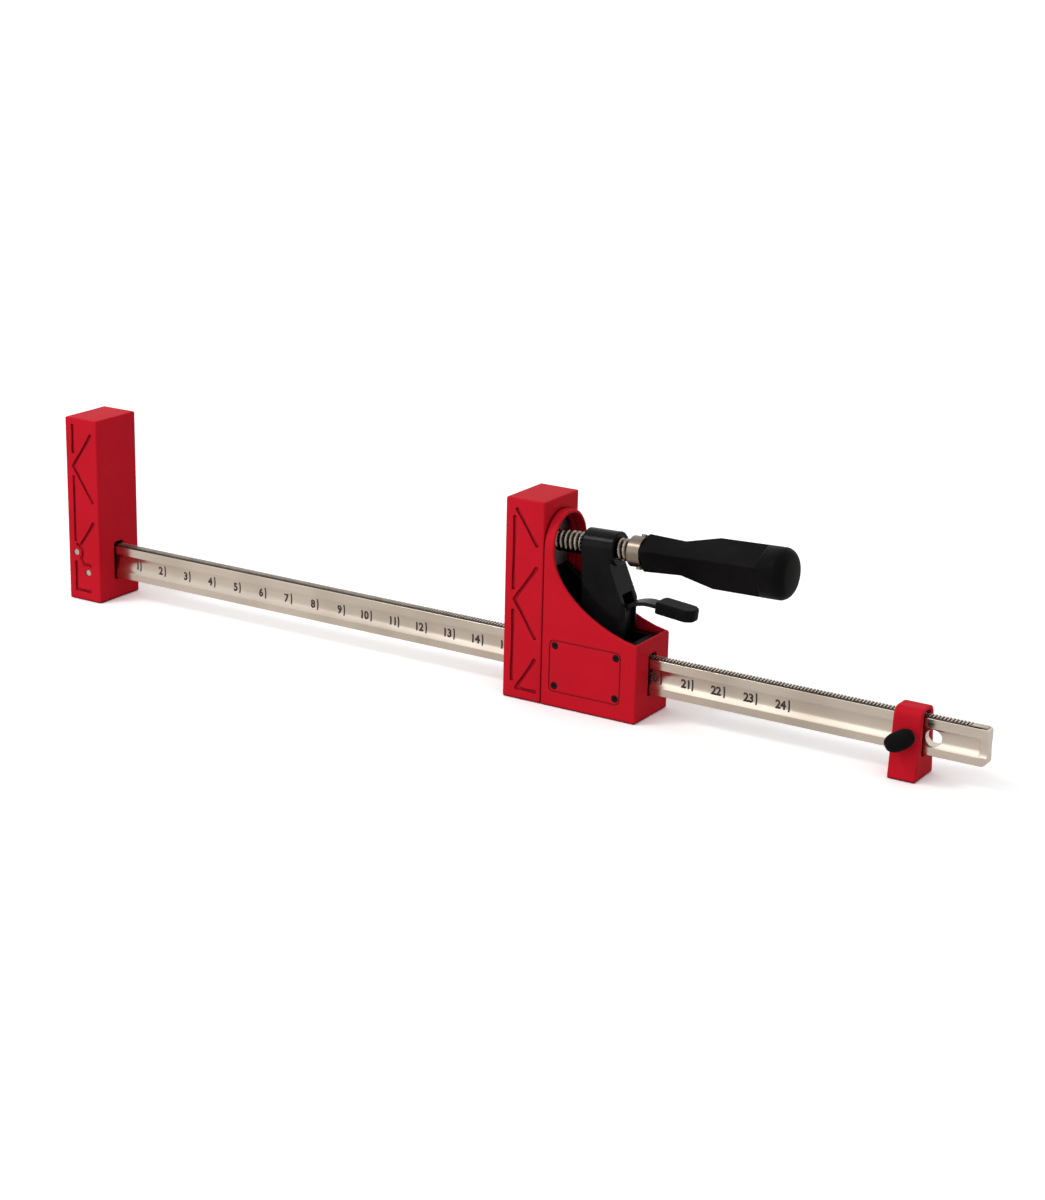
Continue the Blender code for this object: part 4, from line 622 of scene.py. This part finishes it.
@dataclass
class RuledBar:
    """The bar: a plate with a hollow web on both sides, a toothed rib, a hanging hole and an inch ruler."""

    body: str = "bar"
    end_overrun: float = 0.002
    side_overrun: float = 0.001
    hollow_low: float = 0.0242
    hollow_high: float = 0.0380
    hollow_depth: float = 0.0020
    hollow_end_margin: float = 0.0056
    hollow_steps: int = 24
    runout_depth: float = 0.0011
    rib_width: float = 0.0062
    rib_height: float = 0.0012
    rib_end_margin: float = 0.013
    rib_sunk: float = 0.0004
    rib_under_jaw: float = 0.001
    foot_groove: float = 0.0012
    foot_groove_end: float = 0.0054
    foot_groove_outer_share: float = 0.7
    tooth_pitch: float = 0.0026
    tooth_depth: float = 0.0011
    tooth_inset: float = 0.0002
    tooth_sunk: float = 0.0001
    tooth_root_share: float = 0.32
    tooth_crest_share: float = 0.24
    tail_drop_share: float = 0.25
    low_corner: float = 0.0042
    high_corner: float = 0.0018
    corner_steps: int = 8
    edge_round: float = 0.00045
    hole_radius: float = 0.006
    hole_margin: float = 0.039
    hole_steps: int = 64
    sharp_degrees: float = 28.0
    ruler_zero: float = 0.01625
    ruler_inches: int = 24
    tick_width: float = 0.0013
    tick_low: float = 0.0270
    tick_high: float = 0.0358
    tick_slabs: int = 8
    digit_height: float = 0.0062
    digit_base: float = 0.0012
    digit_gap_share: float = 1.9
    digit_slabs: int = 5
    capital_share: float = 0.7
    narrow_share: float = 0.92
    close_share: float = 0.98
    stroke_growth: float = 0.00036
    ink_height: float = 0.00004
    ink_sunk: float = 0.00005

    def __post_init__(self) -> None:
        """Read the bar's outer sizes from its solid."""
        self.low, self.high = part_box("bar")
        self.half = self.high.y
        self.plate_top = self.high.z - self.rib_height
        self.rib_base = self.high.z - self.tooth_depth

    def build(self) -> None:
        """Build the bar, its teeth and its ruler."""
        seat_piece(self._plate(), self.body, DRAWN_STEEL, "bar")
        seat_piece(self._rack(), self.body, MILLED_STEEL)
        seat_piece(self._ruler(), self.body, RULER_INK)

    def _sink(self, z: float, depth: float) -> float:
        """How deep a hollow is at a height: an arc that is deepest in its middle.

        Args:
            z: The height.
            depth: The hollow's depth in its middle.

        Returns:
            The depth at that height.
        """
        span = (self.hollow_high - self.hollow_low) / 2
        off = z - (self.hollow_high + self.hollow_low) / 2
        if abs(off) >= span:
            return 0.0
        radius = (span * span + depth ** 2) / (2 * depth)
        return math.sqrt(radius * radius - off * off) - (radius - depth)

    def _plate(self) -> Object:
        """The plate with its two hollows, the grooves along the rib's foot and the hanging hole."""
        plate = piece_from("bar_plate", self._plain_plate())
        for side in (-1, 1):
            self._hollow(plate, side, self.hollow_depth, self.high.x - self.hollow_end_margin)
            self._hollow(plate, side, self.runout_depth, self.high.x + self.end_overrun)
        for side in (-1, 1):
            self._foot_groove(plate, side)
        middle = (self.hollow_low + self.hollow_high) / 2
        hole = Vector((self.high.x - self.hole_margin, 0, middle))
        across = Vector((0, 1, 0))
        carve(plate, rod("hole_tool", hole, across, self.hole_radius, self.half * 3, self.hole_steps))
        shade_by_angle(plate, self.sharp_degrees)
        return plate

    def _plain_plate(self) -> BMesh:
        """The plate before it is cut, with rounded long edges and rounded end corners."""
        outline = [Vector((self.low.x, -self.half, self.low.z))]
        low, high = self.low_corner, self.high_corner
        for corner, centre_z, start in ((low, self.low.z + low, -90), (high, self.plate_top - high, 0)):
            for step in range(self.corner_steps + 1):
                turn = math.radians(start + 90 * step / self.corner_steps)
                x = self.high.x - corner + corner * math.cos(turn)
                outline.append(Vector((x, -self.half, centre_z + corner * math.sin(turn))))
        outline.append(Vector((self.low.x, -self.half, self.plate_top)))
        bm = extruded(outline, Vector((0, self.half * 2, 0)))
        rims = [
            edge for edge in bm.edges
            if abs(abs(edge.verts[0].co.y) - self.half) < HAIR
            and abs(edge.verts[0].co.y - edge.verts[1].co.y) < HAIR
        ]
        bmesh.ops.bevel(
            bm, geom=rims, offset=self.edge_round, offset_type="OFFSET", segments=3, profile=0.5,
            affect="EDGES", material=-1, clamp_overlap=True,
        )
        return bm

    def _foot_groove(self, plate: Object, side: int) -> None:
        """Cut the groove along one side of the rib's foot.

        Args:
            plate: The plate.
            side: -1 for the ruler's side, 1 for the other.
        """
        length = self.high.x - self.foot_groove_end - self.low.x + self.end_overrun
        inner = side * self.rib_width / 2
        outer = side * (self.rib_width / 2 + self.foot_groove)
        above = self.plate_top + self.end_overrun
        section = [
            (inner, self.plate_top - self.foot_groove),
            (outer, self.plate_top - self.foot_groove * self.foot_groove_outer_share),
            (outer, above), (inner, above),
        ]
        corners = [Vector((self.low.x - self.end_overrun, y, z)) for y, z in section]
        carve(plate, piece_from("groove_tool", extruded(corners, Vector((length, 0, 0)))))

    def _hollow(self, plate: Object, side: int, depth: float, stop: float) -> None:
        """Cut an arched hollow along one side of the plate.

        Args:
            plate: The plate.
            side: -1 for the ruler's side, 1 for the other.
            depth: How deep the hollow is in its middle.
            stop: Where along the bar it ends.
        """
        start = self.low.x - self.end_overrun
        outside = side * (self.half + self.side_overrun)
        arc = [Vector((start, outside, self.hollow_low))]
        for step in range(self.hollow_steps + 1):
            z = self.hollow_low + (self.hollow_high - self.hollow_low) * step / self.hollow_steps
            arc.append(Vector((start, side * (self.half - self._sink(z, depth)), z)))
        arc.append(Vector((start, outside, self.hollow_high)))
        carve(plate, piece_from("hollow_tool", extruded(arc, Vector((stop - start, 0, 0)))))

    def _rack(self) -> Object:
        """The rib with a row of small teeth across it, and a plain stretch at its end."""
        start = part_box("fixed_jaw_cover")[1].x - self.rib_under_jaw
        stop = self.high.x - self.rib_end_margin
        count = int((stop - start) / self.tooth_pitch)
        half = self.rib_width / 2
        bm = bmesh.new()
        base = bmesh.ops.create_cube(bm, size=1.0)["verts"]
        floor = self.plate_top - self.rib_sunk
        bmesh.ops.scale(bm, verts=base, vec=(stop - start, half * 2, self.rib_base - floor))
        bmesh.ops.translate(bm, verts=base, vec=((start + stop) / 2, 0, (self.rib_base + floor) / 2))
        plain = bmesh.ops.create_cube(bm, size=1.0)["verts"]
        tail = self.high.x - self.high_corner
        tail_top = self.high.z - self.tooth_depth * self.tail_drop_share
        bmesh.ops.scale(bm, verts=plain, vec=(tail - stop, half * 2, tail_top - floor))
        bmesh.ops.translate(bm, verts=plain, vec=((tail + stop) / 2, 0, (tail_top + floor) / 2))
        root = self.tooth_pitch * self.tooth_root_share
        crest = self.tooth_pitch * self.tooth_crest_share
        sunk, top = self.rib_base - self.tooth_sunk, self.high.z
        first = stop - self.tooth_pitch / 2
        near = -half + self.tooth_inset
        across = Vector((0, half * 2 - self.tooth_inset * 2, 0))
        corners = [(-root, sunk), (root, sunk), (crest, top), (-crest, top)]
        tooth = extruded([Vector((first + x, near, z)) for x, z in corners], across)
        pattern = bpy.data.meshes.new("tooth_pattern")
        tooth.to_mesh(pattern)
        tooth.free()
        for number in range(count):
            before = set(bm.verts)
            bm.from_mesh(pattern)
            fresh = [vert for vert in bm.verts if vert not in before]
            bmesh.ops.translate(bm, verts=fresh, vec=(-number * self.tooth_pitch, 0, 0))
        bpy.data.meshes.remove(pattern)
        return piece_from("bar_rack_teeth", bm)

    def _ruler(self) -> Object:
        """The ruler: a tick at every inch with its number left of it, laid on the hollow web."""
        bm = bmesh.new()
        for inch in range(1, self.ruler_inches + 1):
            x = self.ruler_zero + inch * INCH
            grid = bmesh.ops.create_grid(bm, x_segments=1, y_segments=self.tick_slabs, size=0.5)["verts"]
            for vert in grid:
                vert.co = Vector((
                    x + vert.co.x * self.tick_width, 0,
                    (self.tick_low + self.tick_high) / 2 + vert.co.y * (self.tick_high - self.tick_low),
                ))
            self._number(bm, inch, x - self.tick_width * self.digit_gap_share)
        bmesh.ops.dissolve_degenerate(bm, dist=HAIR, edges=bm.edges)
        for vert in bm.verts:
            vert.co.y = -(self.half - self._sink(vert.co.z, self.hollow_depth)) + self.ink_sunk
        grown = bmesh.ops.extrude_face_region(bm, geom=list(bm.faces))["geom"]
        front = [item for item in grown if isinstance(item, BMVert)]
        bmesh.ops.translate(bm, verts=front, vec=(0, -self.ink_sunk - self.ink_height, 0))
        bmesh.ops.recalc_face_normals(bm, faces=bm.faces)
        return piece_from("inch_ruler_marks", bm)

    def _number(self, bm: BMesh, inch: int, right: float) -> None:
        """Add one number's flat shape, cut into level slabs that can follow the hollow.

        Args:
            bm: The ruler's mesh so far.
            inch: The number.
            right: Where its right edge lies along the bar.
        """
        curve = bpy.data.curves.new("number", "FONT")
        curve.body = str(inch)
        curve.size = self.digit_height / self.capital_share
        curve.space_character = self.close_share
        curve.offset = self.stroke_growth
        curve.resolution_u = 3
        thing = bpy.data.objects.new("number", curve)
        bpy.context.scene.collection.objects.link(thing)
        graph = bpy.context.evaluated_depsgraph_get()
        graph.update()
        flat = bpy.data.meshes.new_from_object(thing.evaluated_get(graph))
        bpy.data.objects.remove(thing)
        before = set(bm.verts)
        bm.from_mesh(flat)
        fresh = [vert for vert in bm.verts if vert not in before]
        bpy.data.meshes.remove(flat)
        reach = max(vert.co.x for vert in fresh)
        base = self.tick_low + self.digit_base
        for vert in fresh:
            vert.co = Vector((right + (vert.co.x - reach) * self.narrow_share, 0, base + vert.co.y))
        faces = list({face for vert in fresh for face in vert.link_faces})
        for cut in range(1, self.digit_slabs):
            level = base + self.digit_height * cut / self.digit_slabs
            whole = [face for face in faces if face.is_valid]
            corners = {vert for face in whole for vert in face.verts}
            edges = {edge for face in whole for edge in face.edges}
            made = bmesh.ops.bisect_plane(
                bm, geom=list(corners) + list(edges) + whole, plane_co=(0, 0, level), plane_no=(0, 0, 1),
            )
            faces = [item for item in made["geom"] if isinstance(item, BMFace)]


# Jaws and casing


Stroke = tuple[tuple[float, float], tuple[float, float]]


@dataclass
class TrussGrooves:
    """Moulded grooves with sloping walls and round ends, on both sides of a jaw's cover."""

    node: str
    strokes: tuple[Stroke, ...]
    width: float = 0.0034
    floor_width: float = 0.0020
    depth: float = 0.0014
    overrun: float = 0.001
    round_steps: int = 22

    def cut(self, cover: Object) -> None:
        """Cut every stroke into both sides of the cover."""
        low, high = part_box(self.node)
        size = high - low
        for first, second in self.strokes:
            ends = [Vector((low.x + x * size.x, 0, low.z + z * size.z)) for x, z in (first, second)]
            for side in (-1, 1):
                carve(cover, self.stroke_tool(ends[0], ends[1], side, high.y))

    def stroke_tool(self, first: Vector, last: Vector, side: int, half: float) -> Object:
        """Make the body that cuts one straight groove.

        Args:
            first: Where the groove starts, at the jaw's middle.
            last: Where it ends.
            side: -1 or 1, for the side of the jaw.
            half: Half the jaw's width.

        Returns:
            The cutting body.
        """
        run = last - first
        bm = bmesh.new()
        bmesh.ops.create_circle(
            bm, cap_ends=True, segments=self.round_steps, radius=self.floor_width / 2,
        )
        ends = ([vert for vert in bm.verts if vert.co.x > 0], [vert for vert in bm.verts if vert.co.x < 0])
        for verts, way in zip(ends, (1, -1)):
            bmesh.ops.translate(bm, verts=verts, vec=(way * run.length / 2, 0, 0))
        grown = bmesh.ops.extrude_face_region(bm, geom=list(bm.faces))["geom"]
        mouth = [item for item in grown if isinstance(item, BMVert)]
        reach = self.depth + self.overrun
        spread = 1 + (self.width / self.floor_width - 1) * reach / self.depth
        for way in (1, -1):
            rim = [vert for vert in mouth if vert.co.x * way > 0]
            centre = Matrix.Translation((-way * run.length / 2, 0, 0))
            bmesh.ops.scale(bm, verts=rim, vec=(spread, spread, 1), space=centre)
        bmesh.ops.translate(bm, verts=mouth, vec=(0, 0, reach))
        along = run.normalized()
        out = Vector((0, side, 0))
        turn = Matrix((along, out.cross(along), out)).transposed().to_4x4()
        floor = (first + last) / 2 + out * (half - self.depth)
        bmesh.ops.transform(bm, verts=bm.verts, matrix=Matrix.Translation(floor) @ turn)
        bmesh.ops.recalc_face_normals(bm, faces=bm.faces)
        return piece_from("stroke_tool", bm)


@dataclass
class FixedJaw:
    """The jaw at the bar's end: a moulded cover, the casting in it and its two pins."""

    body: str = "bar"
    pins: tuple[str, str] = ("fixed_jaw_pin_upper", "fixed_jaw_pin_lower")
    ring_inner: float = 0.0052
    ring_outer: float = 0.0084
    ring_slope: float = 0.0007
    ring_steps: int = 16
    upper_arc: tuple[float, float] = (-40.0, 88.0)
    lower_arc: tuple[float, float] = (58.0, 122.0)
    link_from_upper_pin: tuple[float, float, float] = (0.0050, 0, -0.0046)
    link_from_lower_pin: tuple[float, float, float] = (-0.0034, 0, 0.0062)
    grooves: TrussGrooves = field(default_factory=lambda: TrussGrooves("fixed_jaw_cover", (
        ((0.235, 0.955), (0.235, 0.815)), ((0.80, 0.915), (0.235, 0.735)), ((0.235, 0.735), (0.82, 0.555)),
        ((0.235, 0.675), (0.235, 0.33)), ((0.82, 0.435), (0.37, 0.295)), ((0.235, 0.205), (0.235, 0.055)),
        ((0.235, 0.055), (0.66, 0.055)),
    )))

    def build(self) -> None:
        """Dress the jaw's parts."""
        cover = refined_copy("fixed_jaw_cover", self.body, RED_NYLON)
        self.grooves.cut(cover)
        self._ring_grooves(cover)
        RED_NYLON.dress(cover)
        restyle_node("fixed_jaw_core", BLACK_CASTING)
        for pin in self.pins:
            refined_copy(pin, self.body, MILLED_STEEL)

    def _ring_grooves(self, cover: Object) -> None:
        """Cut the part rings round the pins and the short stroke between them into both sides."""
        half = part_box("fixed_jaw_cover")[1].y
        places = []
        for node in self.pins:
            low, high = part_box(node)
            places.append(Vector(((low.x + high.x) / 2, 0, (low.z + high.z) / 2)))
        upper, lower = places
        depth = self.grooves.depth
        reach = depth + self.grooves.overrun
        for side in (-1, 1):
            middle = Vector((0, side * (half - depth + reach / 2), 0))
            for centre, arc in ((upper, self.upper_arc), (lower, self.lower_arc)):
                carve(cover, self._arc_tool(centre + middle, side * reach, *arc))
            first = upper + Vector(self.link_from_upper_pin)
            last = lower + Vector(self.link_from_lower_pin)
            carve(cover, self.grooves.stroke_tool(first, last, side, half))
        shade_by_angle(cover)

    def _arc_tool(self, centre: Vector, reach: float, start: float, stop: float) -> Object:
        """Make a part of a flat ring that cuts a curved groove.

        Args:
            centre: The ring's middle.
            reach: Its thickness across the jaw, with the sign of the side that it opens to.
            start: The angle in degrees where it starts, from the bar's direction upwards.
            stop: The angle where it ends.

        Returns:
            The cutting body.
        """
        bm = bmesh.new()
        slope = self.ring_slope
        corners = [
            (self.ring_inner + slope, -reach / 2), (self.ring_outer - slope, -reach / 2),
            (self.ring_outer, reach / 2), (self.ring_inner, reach / 2),
        ]
        ring = [bm.verts.new((radius, across, 0)) for radius, across in corners]
        face = bm.faces.new(ring)
        bmesh.ops.rotate(
            bm, verts=ring, cent=(0, 0, 0), matrix=Matrix.Rotation(-math.radians(start), 3, "Y"),
        )
        bmesh.ops.spin(
            bm, geom=[face], cent=(0, 0, 0), axis=(0, 1, 0), angle=-math.radians(stop - start),
            steps=self.ring_steps, use_duplicate=False,
        )
        bmesh.ops.recalc_face_normals(bm, faces=bm.faces)
        bmesh.ops.translate(bm, verts=bm.verts, vec=centre)
        return piece_from("ring_tool", bm)


@dataclass
class MovingJaw:
    """The sliding jaw: cover, casting, thrust plate, casing, guide shoes and the casing's screws."""

    body: str = "moving_jaw"
    screws: int = 8
    grooves: TrussGrooves = field(default_factory=lambda: TrussGrooves("moving_jaw_cover", (
        ((0.30, 0.945), (0.82, 0.785)), ((0.235, 0.905), (0.235, 0.555)), ((0.82, 0.670), (0.27, 0.500)),
        ((0.27, 0.500), (0.82, 0.325)), ((0.235, 0.440), (0.235, 0.095)), ((0.82, 0.210), (0.36, 0.055)),
        ((0.36, 0.055), (0.85, 0.055)),
    )))

    def build(self) -> None:
        """Dress the jaw's parts."""
        cover = refined_copy("moving_jaw_cover", self.body, RED_NYLON)
        self.grooves.cut(cover)
        shade_by_angle(cover)
        RED_NYLON.dress(cover)
        refined_copy("casing", self.body, RED_NYLON)
        restyle_node("moving_jaw_core", BLACK_CASTING)
        restyle_node("thrust_plate", GREY_PLATE)
        restyle_node("glide_shoe_front", BLACK_GRIP)
        restyle_node("glide_shoe_back", BLACK_GRIP)
        for number in range(1, self.screws + 1):
            refined_copy(f"casing_screw_{number}", self.body, BLACK_STRIP)


# Screw and handle


@dataclass
class ScrewAndHandle:
    """The threaded spindle, its foot and collar, the cross pin and the grip, all on one tilted axis."""

    body: str = "spindle"
    thread_sharp_degrees: float = 40.0
    thread_dark_mm: float = 6.3
    thread_bright_mm: float = 7.5

    def __post_init__(self) -> None:
        """Find the screw's axis from its joint, and paint shade into the thread's roots round it."""
        joint = next(item for item in frame["joints"] if item["name"] == "spindle_turn")
        self.root_shaded_thread = replace(
            THREAD_STEEL, name="root_shaded_thread_steel", thread_centre=tuple(joint["pos_m"]),
            thread_axis=tuple(Vector(joint["axis"]).normalized()), thread_dark_mm=self.thread_dark_mm,
            thread_bright_mm=self.thread_bright_mm,
        )

    def build(self) -> None:
        """Dress the screw's and the handle's parts."""
        refined_copy("spindle", self.body, self.root_shaded_thread, self.thread_sharp_degrees)
        refined_copy("swivel_foot", "swivel", GREY_PLATE)
        refined_copy("ferrule", self.body, COLLAR_STEEL)
        refined_copy("handle_pin", self.body, COLLAR_STEEL)
        refined_copy("handle", self.body, BLACK_GRIP)


# Arm and release lever


@dataclass
class ArmAndLever:
    """The cast arm with its boss and bite plate, and the release lever with its grip, pin and spring."""

    arm_body: str = "arm"
    lever_body: str = "trigger"
    sharp_degrees: float = 60.0
    arm_voxel_mm: float = 0.5
    arm_rounds: int = 5
    grip_voxel_mm: float = 0.45
    grip_rounds: int = 40
    spring_kept: float = 0.84

    def build(self) -> None:
        """Dress the arm's and the lever's parts."""
        refined_copy(
            "arm", self.arm_body, BLACK_CASTING, self.sharp_degrees, self.arm_voxel_mm, self.arm_rounds,
        )
        restyle_node("arm_bite_plate", GREY_PLATE)
        refined_copy("trigger_pivot_pin", self.arm_body, THREAD_STEEL)
        spring = refined_copy("trigger_spring", self.arm_body, THREAD_STEEL)
        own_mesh(spring)
        refined_copy("trigger_lever", self.lever_body, BLACK_STRIP)
        refined_copy(
            "trigger_grip", self.lever_body, BLACK_GRIP, self.sharp_degrees, self.grip_voxel_mm,
            self.grip_rounds,
        )


# End stop


@dataclass
class EndStop:
    """The end stop: its red block, threaded insert, pad and oval thumbscrew."""

    block_body: str = "end_stop"
    screw_body: str = "thumbscrew"
    sharp_degrees: float = 60.0
    block_voxel_mm: float = 0.4
    block_rounds: int = 45

    def build(self) -> None:
        """Dress the stop's parts."""
        refined_copy(
            "stop_block", self.block_body, RED_NYLON, self.sharp_degrees, self.block_voxel_mm,
            self.block_rounds,
        )
        restyle_node("stop_insert", BRASS)
        restyle_node("stop_pad", BRASS)
        refined_copy("thumbscrew_stud", self.screw_body, THREAD_STEEL)
        refined_copy("thumbscrew_knob", self.screw_body, BLACK_GRIP, self.sharp_degrees)


# Studio


@dataclass(frozen=True)
class Softbox:
    """A square softbox: where it hangs, its side in metres and its power in watts."""

    name: str
    place: tuple[float, float, float]
    size: float
    power: float

    def hang(self, aim: Vector) -> None:
        """Hang the softbox in its place, turned to a point."""
        lamp = bpy.data.lights.new(self.name, "AREA")
        lamp.shape = "SQUARE"
        lamp.size = self.size
        lamp.energy = self.power
        thing = bpy.data.objects.new(self.name, lamp)
        bpy.context.scene.collection.objects.link(thing)
        thing.location = self.place
        thing.rotation_euler = (aim - Vector(self.place)).to_track_quat("-Z", "Y").to_euler()


@dataclass
class Studio:
    """A plain pale floor, a soft overhead sky, two softboxes and the camera."""

    azimuth: float = math.radians(31.487)
    elevation: float = math.radians(17.171)
    roll: float = math.radians(1.307)
    distance: float = 1.85578
    target: Vector = field(default_factory=lambda: Vector((0.41625, -0.0027, 0.031)))
    slide: tuple[float, float] = (-0.00795, 0.03790)
    lens: float = 75.37
    sensor: float = 36.0
    clip: tuple[float, float] = (0.05, 40.0)
    floor_size: float = 12.0
    floor_cells: int = 12
    floor_middle: tuple[float, float, float] = (0.4, 0, -0.0002)
    floor_seen: tuple[float, float, float] = (1.30, 1.31, 1.33)
    floor_mirrored: str = "#EFEEEC"
    floor_bounced: str = "#CFCDCB"
    sky_from: Vector = field(default_factory=lambda: Vector((-0.35, -0.62, 0.70)).normalized())
    sky_start: float = -0.2
    sky_low: float = 0.48
    sky_high: float = 1.04
    sky_tint: tuple[float, float, float, float] = (1.0, 0.99, 0.975, 1.0)
    lamps_aim: Vector = field(default_factory=lambda: Vector((0.40, 0, 0.06)))
    softboxes: tuple[Softbox, ...] = (
        Softbox("key_softbox", (-0.55, -0.95, 1.60), 0.45, 8.0),
        Softbox("front_softbox", (-0.20, -1.70, 0.70), 1.2, 4.0),
    )

    def build(self) -> None:
        """Set the colour view, then build the floor, the sky, the lamps and the camera."""
        bpy.context.scene.view_settings.view_transform = "Standard"
        self._floor()
        self._sky()
        for softbox in self.softboxes:
            softbox.hang(self.lamps_aim)
        self._camera()

    def _floor(self) -> None:
        """The floor: a wide subdivided sheet in matt paper white."""
        bm = bmesh.new()
        cells = self.floor_cells
        bmesh.ops.create_grid(bm, x_segments=cells, y_segments=cells, size=self.floor_size)
        bmesh.ops.translate(bm, verts=bm.verts, vec=self.floor_middle)
        floor = piece_from("studio_floor", bm)
        made = bpy.data.materials.new("matt_paper_floor")
        made.use_nodes = True
        tree = made.node_tree
        tree.nodes.clear()
        seen = add_node(tree, "ShaderNodeBsdfDiffuse", values={"Color": (*self.floor_seen, 1.0)})
        mirrored = add_node(tree, "ShaderNodeBsdfDiffuse", values={"Color": to_linear(self.floor_mirrored)})
        bounced = add_node(tree, "ShaderNodeBsdfDiffuse", values={"Color": to_linear(self.floor_bounced)})
        path = add_node(tree, "ShaderNodeLightPath")
        indirect = add_node(
            tree, "ShaderNodeMixShader", None, None,
            {0: path.outputs["Is Glossy Ray"], 1: bounced.outputs["BSDF"], 2: mirrored.outputs["BSDF"]},
        )
        mixed = add_node(
            tree, "ShaderNodeMixShader", None, None,
            {0: path.outputs["Is Camera Ray"], 1: indirect.outputs["Shader"], 2: seen.outputs["BSDF"]},
        )
        add_node(tree, "ShaderNodeOutputMaterial", links={"Surface": mixed.outputs["Shader"]})
        floor.data.materials.append(made)

    def _sky(self) -> None:
        """The world: white where it is seen, and a soft overhead dome as light."""
        world = bpy.data.worlds.new("soft_dome")
        bpy.context.scene.world = world
        world.use_nodes = True
        tree = world.node_tree
        tree.nodes.clear()
        place = add_node(tree, "ShaderNodeTexCoord")
        facing = add_node(
            tree, "ShaderNodeVectorMath", {"operation": "DOT_PRODUCT"}, {1: self.sky_from},
            {0: place.outputs["Generated"]},
        )
        dome = add_node(
            tree, "ShaderNodeMapRange",
            values={"From Min": self.sky_start, "To Min": self.sky_low, "To Max": self.sky_high},
            links={"Value": facing.outputs["Value"]},
        )
        light = add_node(
            tree, "ShaderNodeBackground", values={"Color": self.sky_tint},
            links={"Strength": dome.outputs["Result"]},
        )
        seen = add_node(
            tree, "ShaderNodeBackground", values={"Color": to_linear("#FFFFFF"), "Strength": 1.0},
        )
        path = add_node(tree, "ShaderNodeLightPath")
        glossy = add_node(
            tree, "ShaderNodeMath", {"operation": "MAXIMUM"}, None,
            {0: path.outputs["Is Camera Ray"], 1: path.outputs["Is Glossy Ray"]},
        )
        mixed = add_node(
            tree, "ShaderNodeMixShader", None, None,
            {0: glossy.outputs["Value"], 1: light.outputs["Background"], 2: seen.outputs["Background"]},
        )
        add_node(tree, "ShaderNodeOutputWorld", links={"Surface": mixed.outputs["Shader"]})

    def _camera(self) -> None:
        """Set the camera where the photograph was taken from."""
        turn, rise, roll = self.azimuth, self.elevation, self.roll
        back = Vector((math.sin(turn) * math.cos(rise), -math.cos(turn) * math.cos(rise), math.sin(rise)))
        level = Vector((math.cos(turn), math.sin(turn), 0))
        above = back.cross(level)
        right = level * math.cos(roll) + above * math.sin(roll)
        up = above * math.cos(roll) - level * math.sin(roll)
        camera = bpy.data.cameras.new("photo_camera")
        camera.lens = self.lens
        camera.sensor_width = self.sensor
        camera.sensor_height = self.sensor
        camera.sensor_fit = "AUTO"
        camera.clip_start, camera.clip_end = self.clip
        thing = bpy.data.objects.new("photo_camera", camera)
        bpy.context.scene.collection.objects.link(thing)
        stand = Matrix((right, up, back)).transposed().to_4x4()
        stand.translation = self.target + back * self.distance + right * self.slide[0] + up * self.slide[1]
        thing.matrix_world = stand
        bpy.context.scene.camera = thing


def main() -> None:
    """Build the studio and the clamp, one sub-assembly at a time."""
    logging.basicConfig(level=logging.INFO, format="%(message)s")
    Studio().build()
    for assembly in (RuledBar(), FixedJaw(), MovingJaw(), ScrewAndHandle(), ArmAndLever(), EndStop()):
        assembly.build()
        LOG.info("built %s", type(assembly).__name__)


if __name__ == "__main__":
    main()
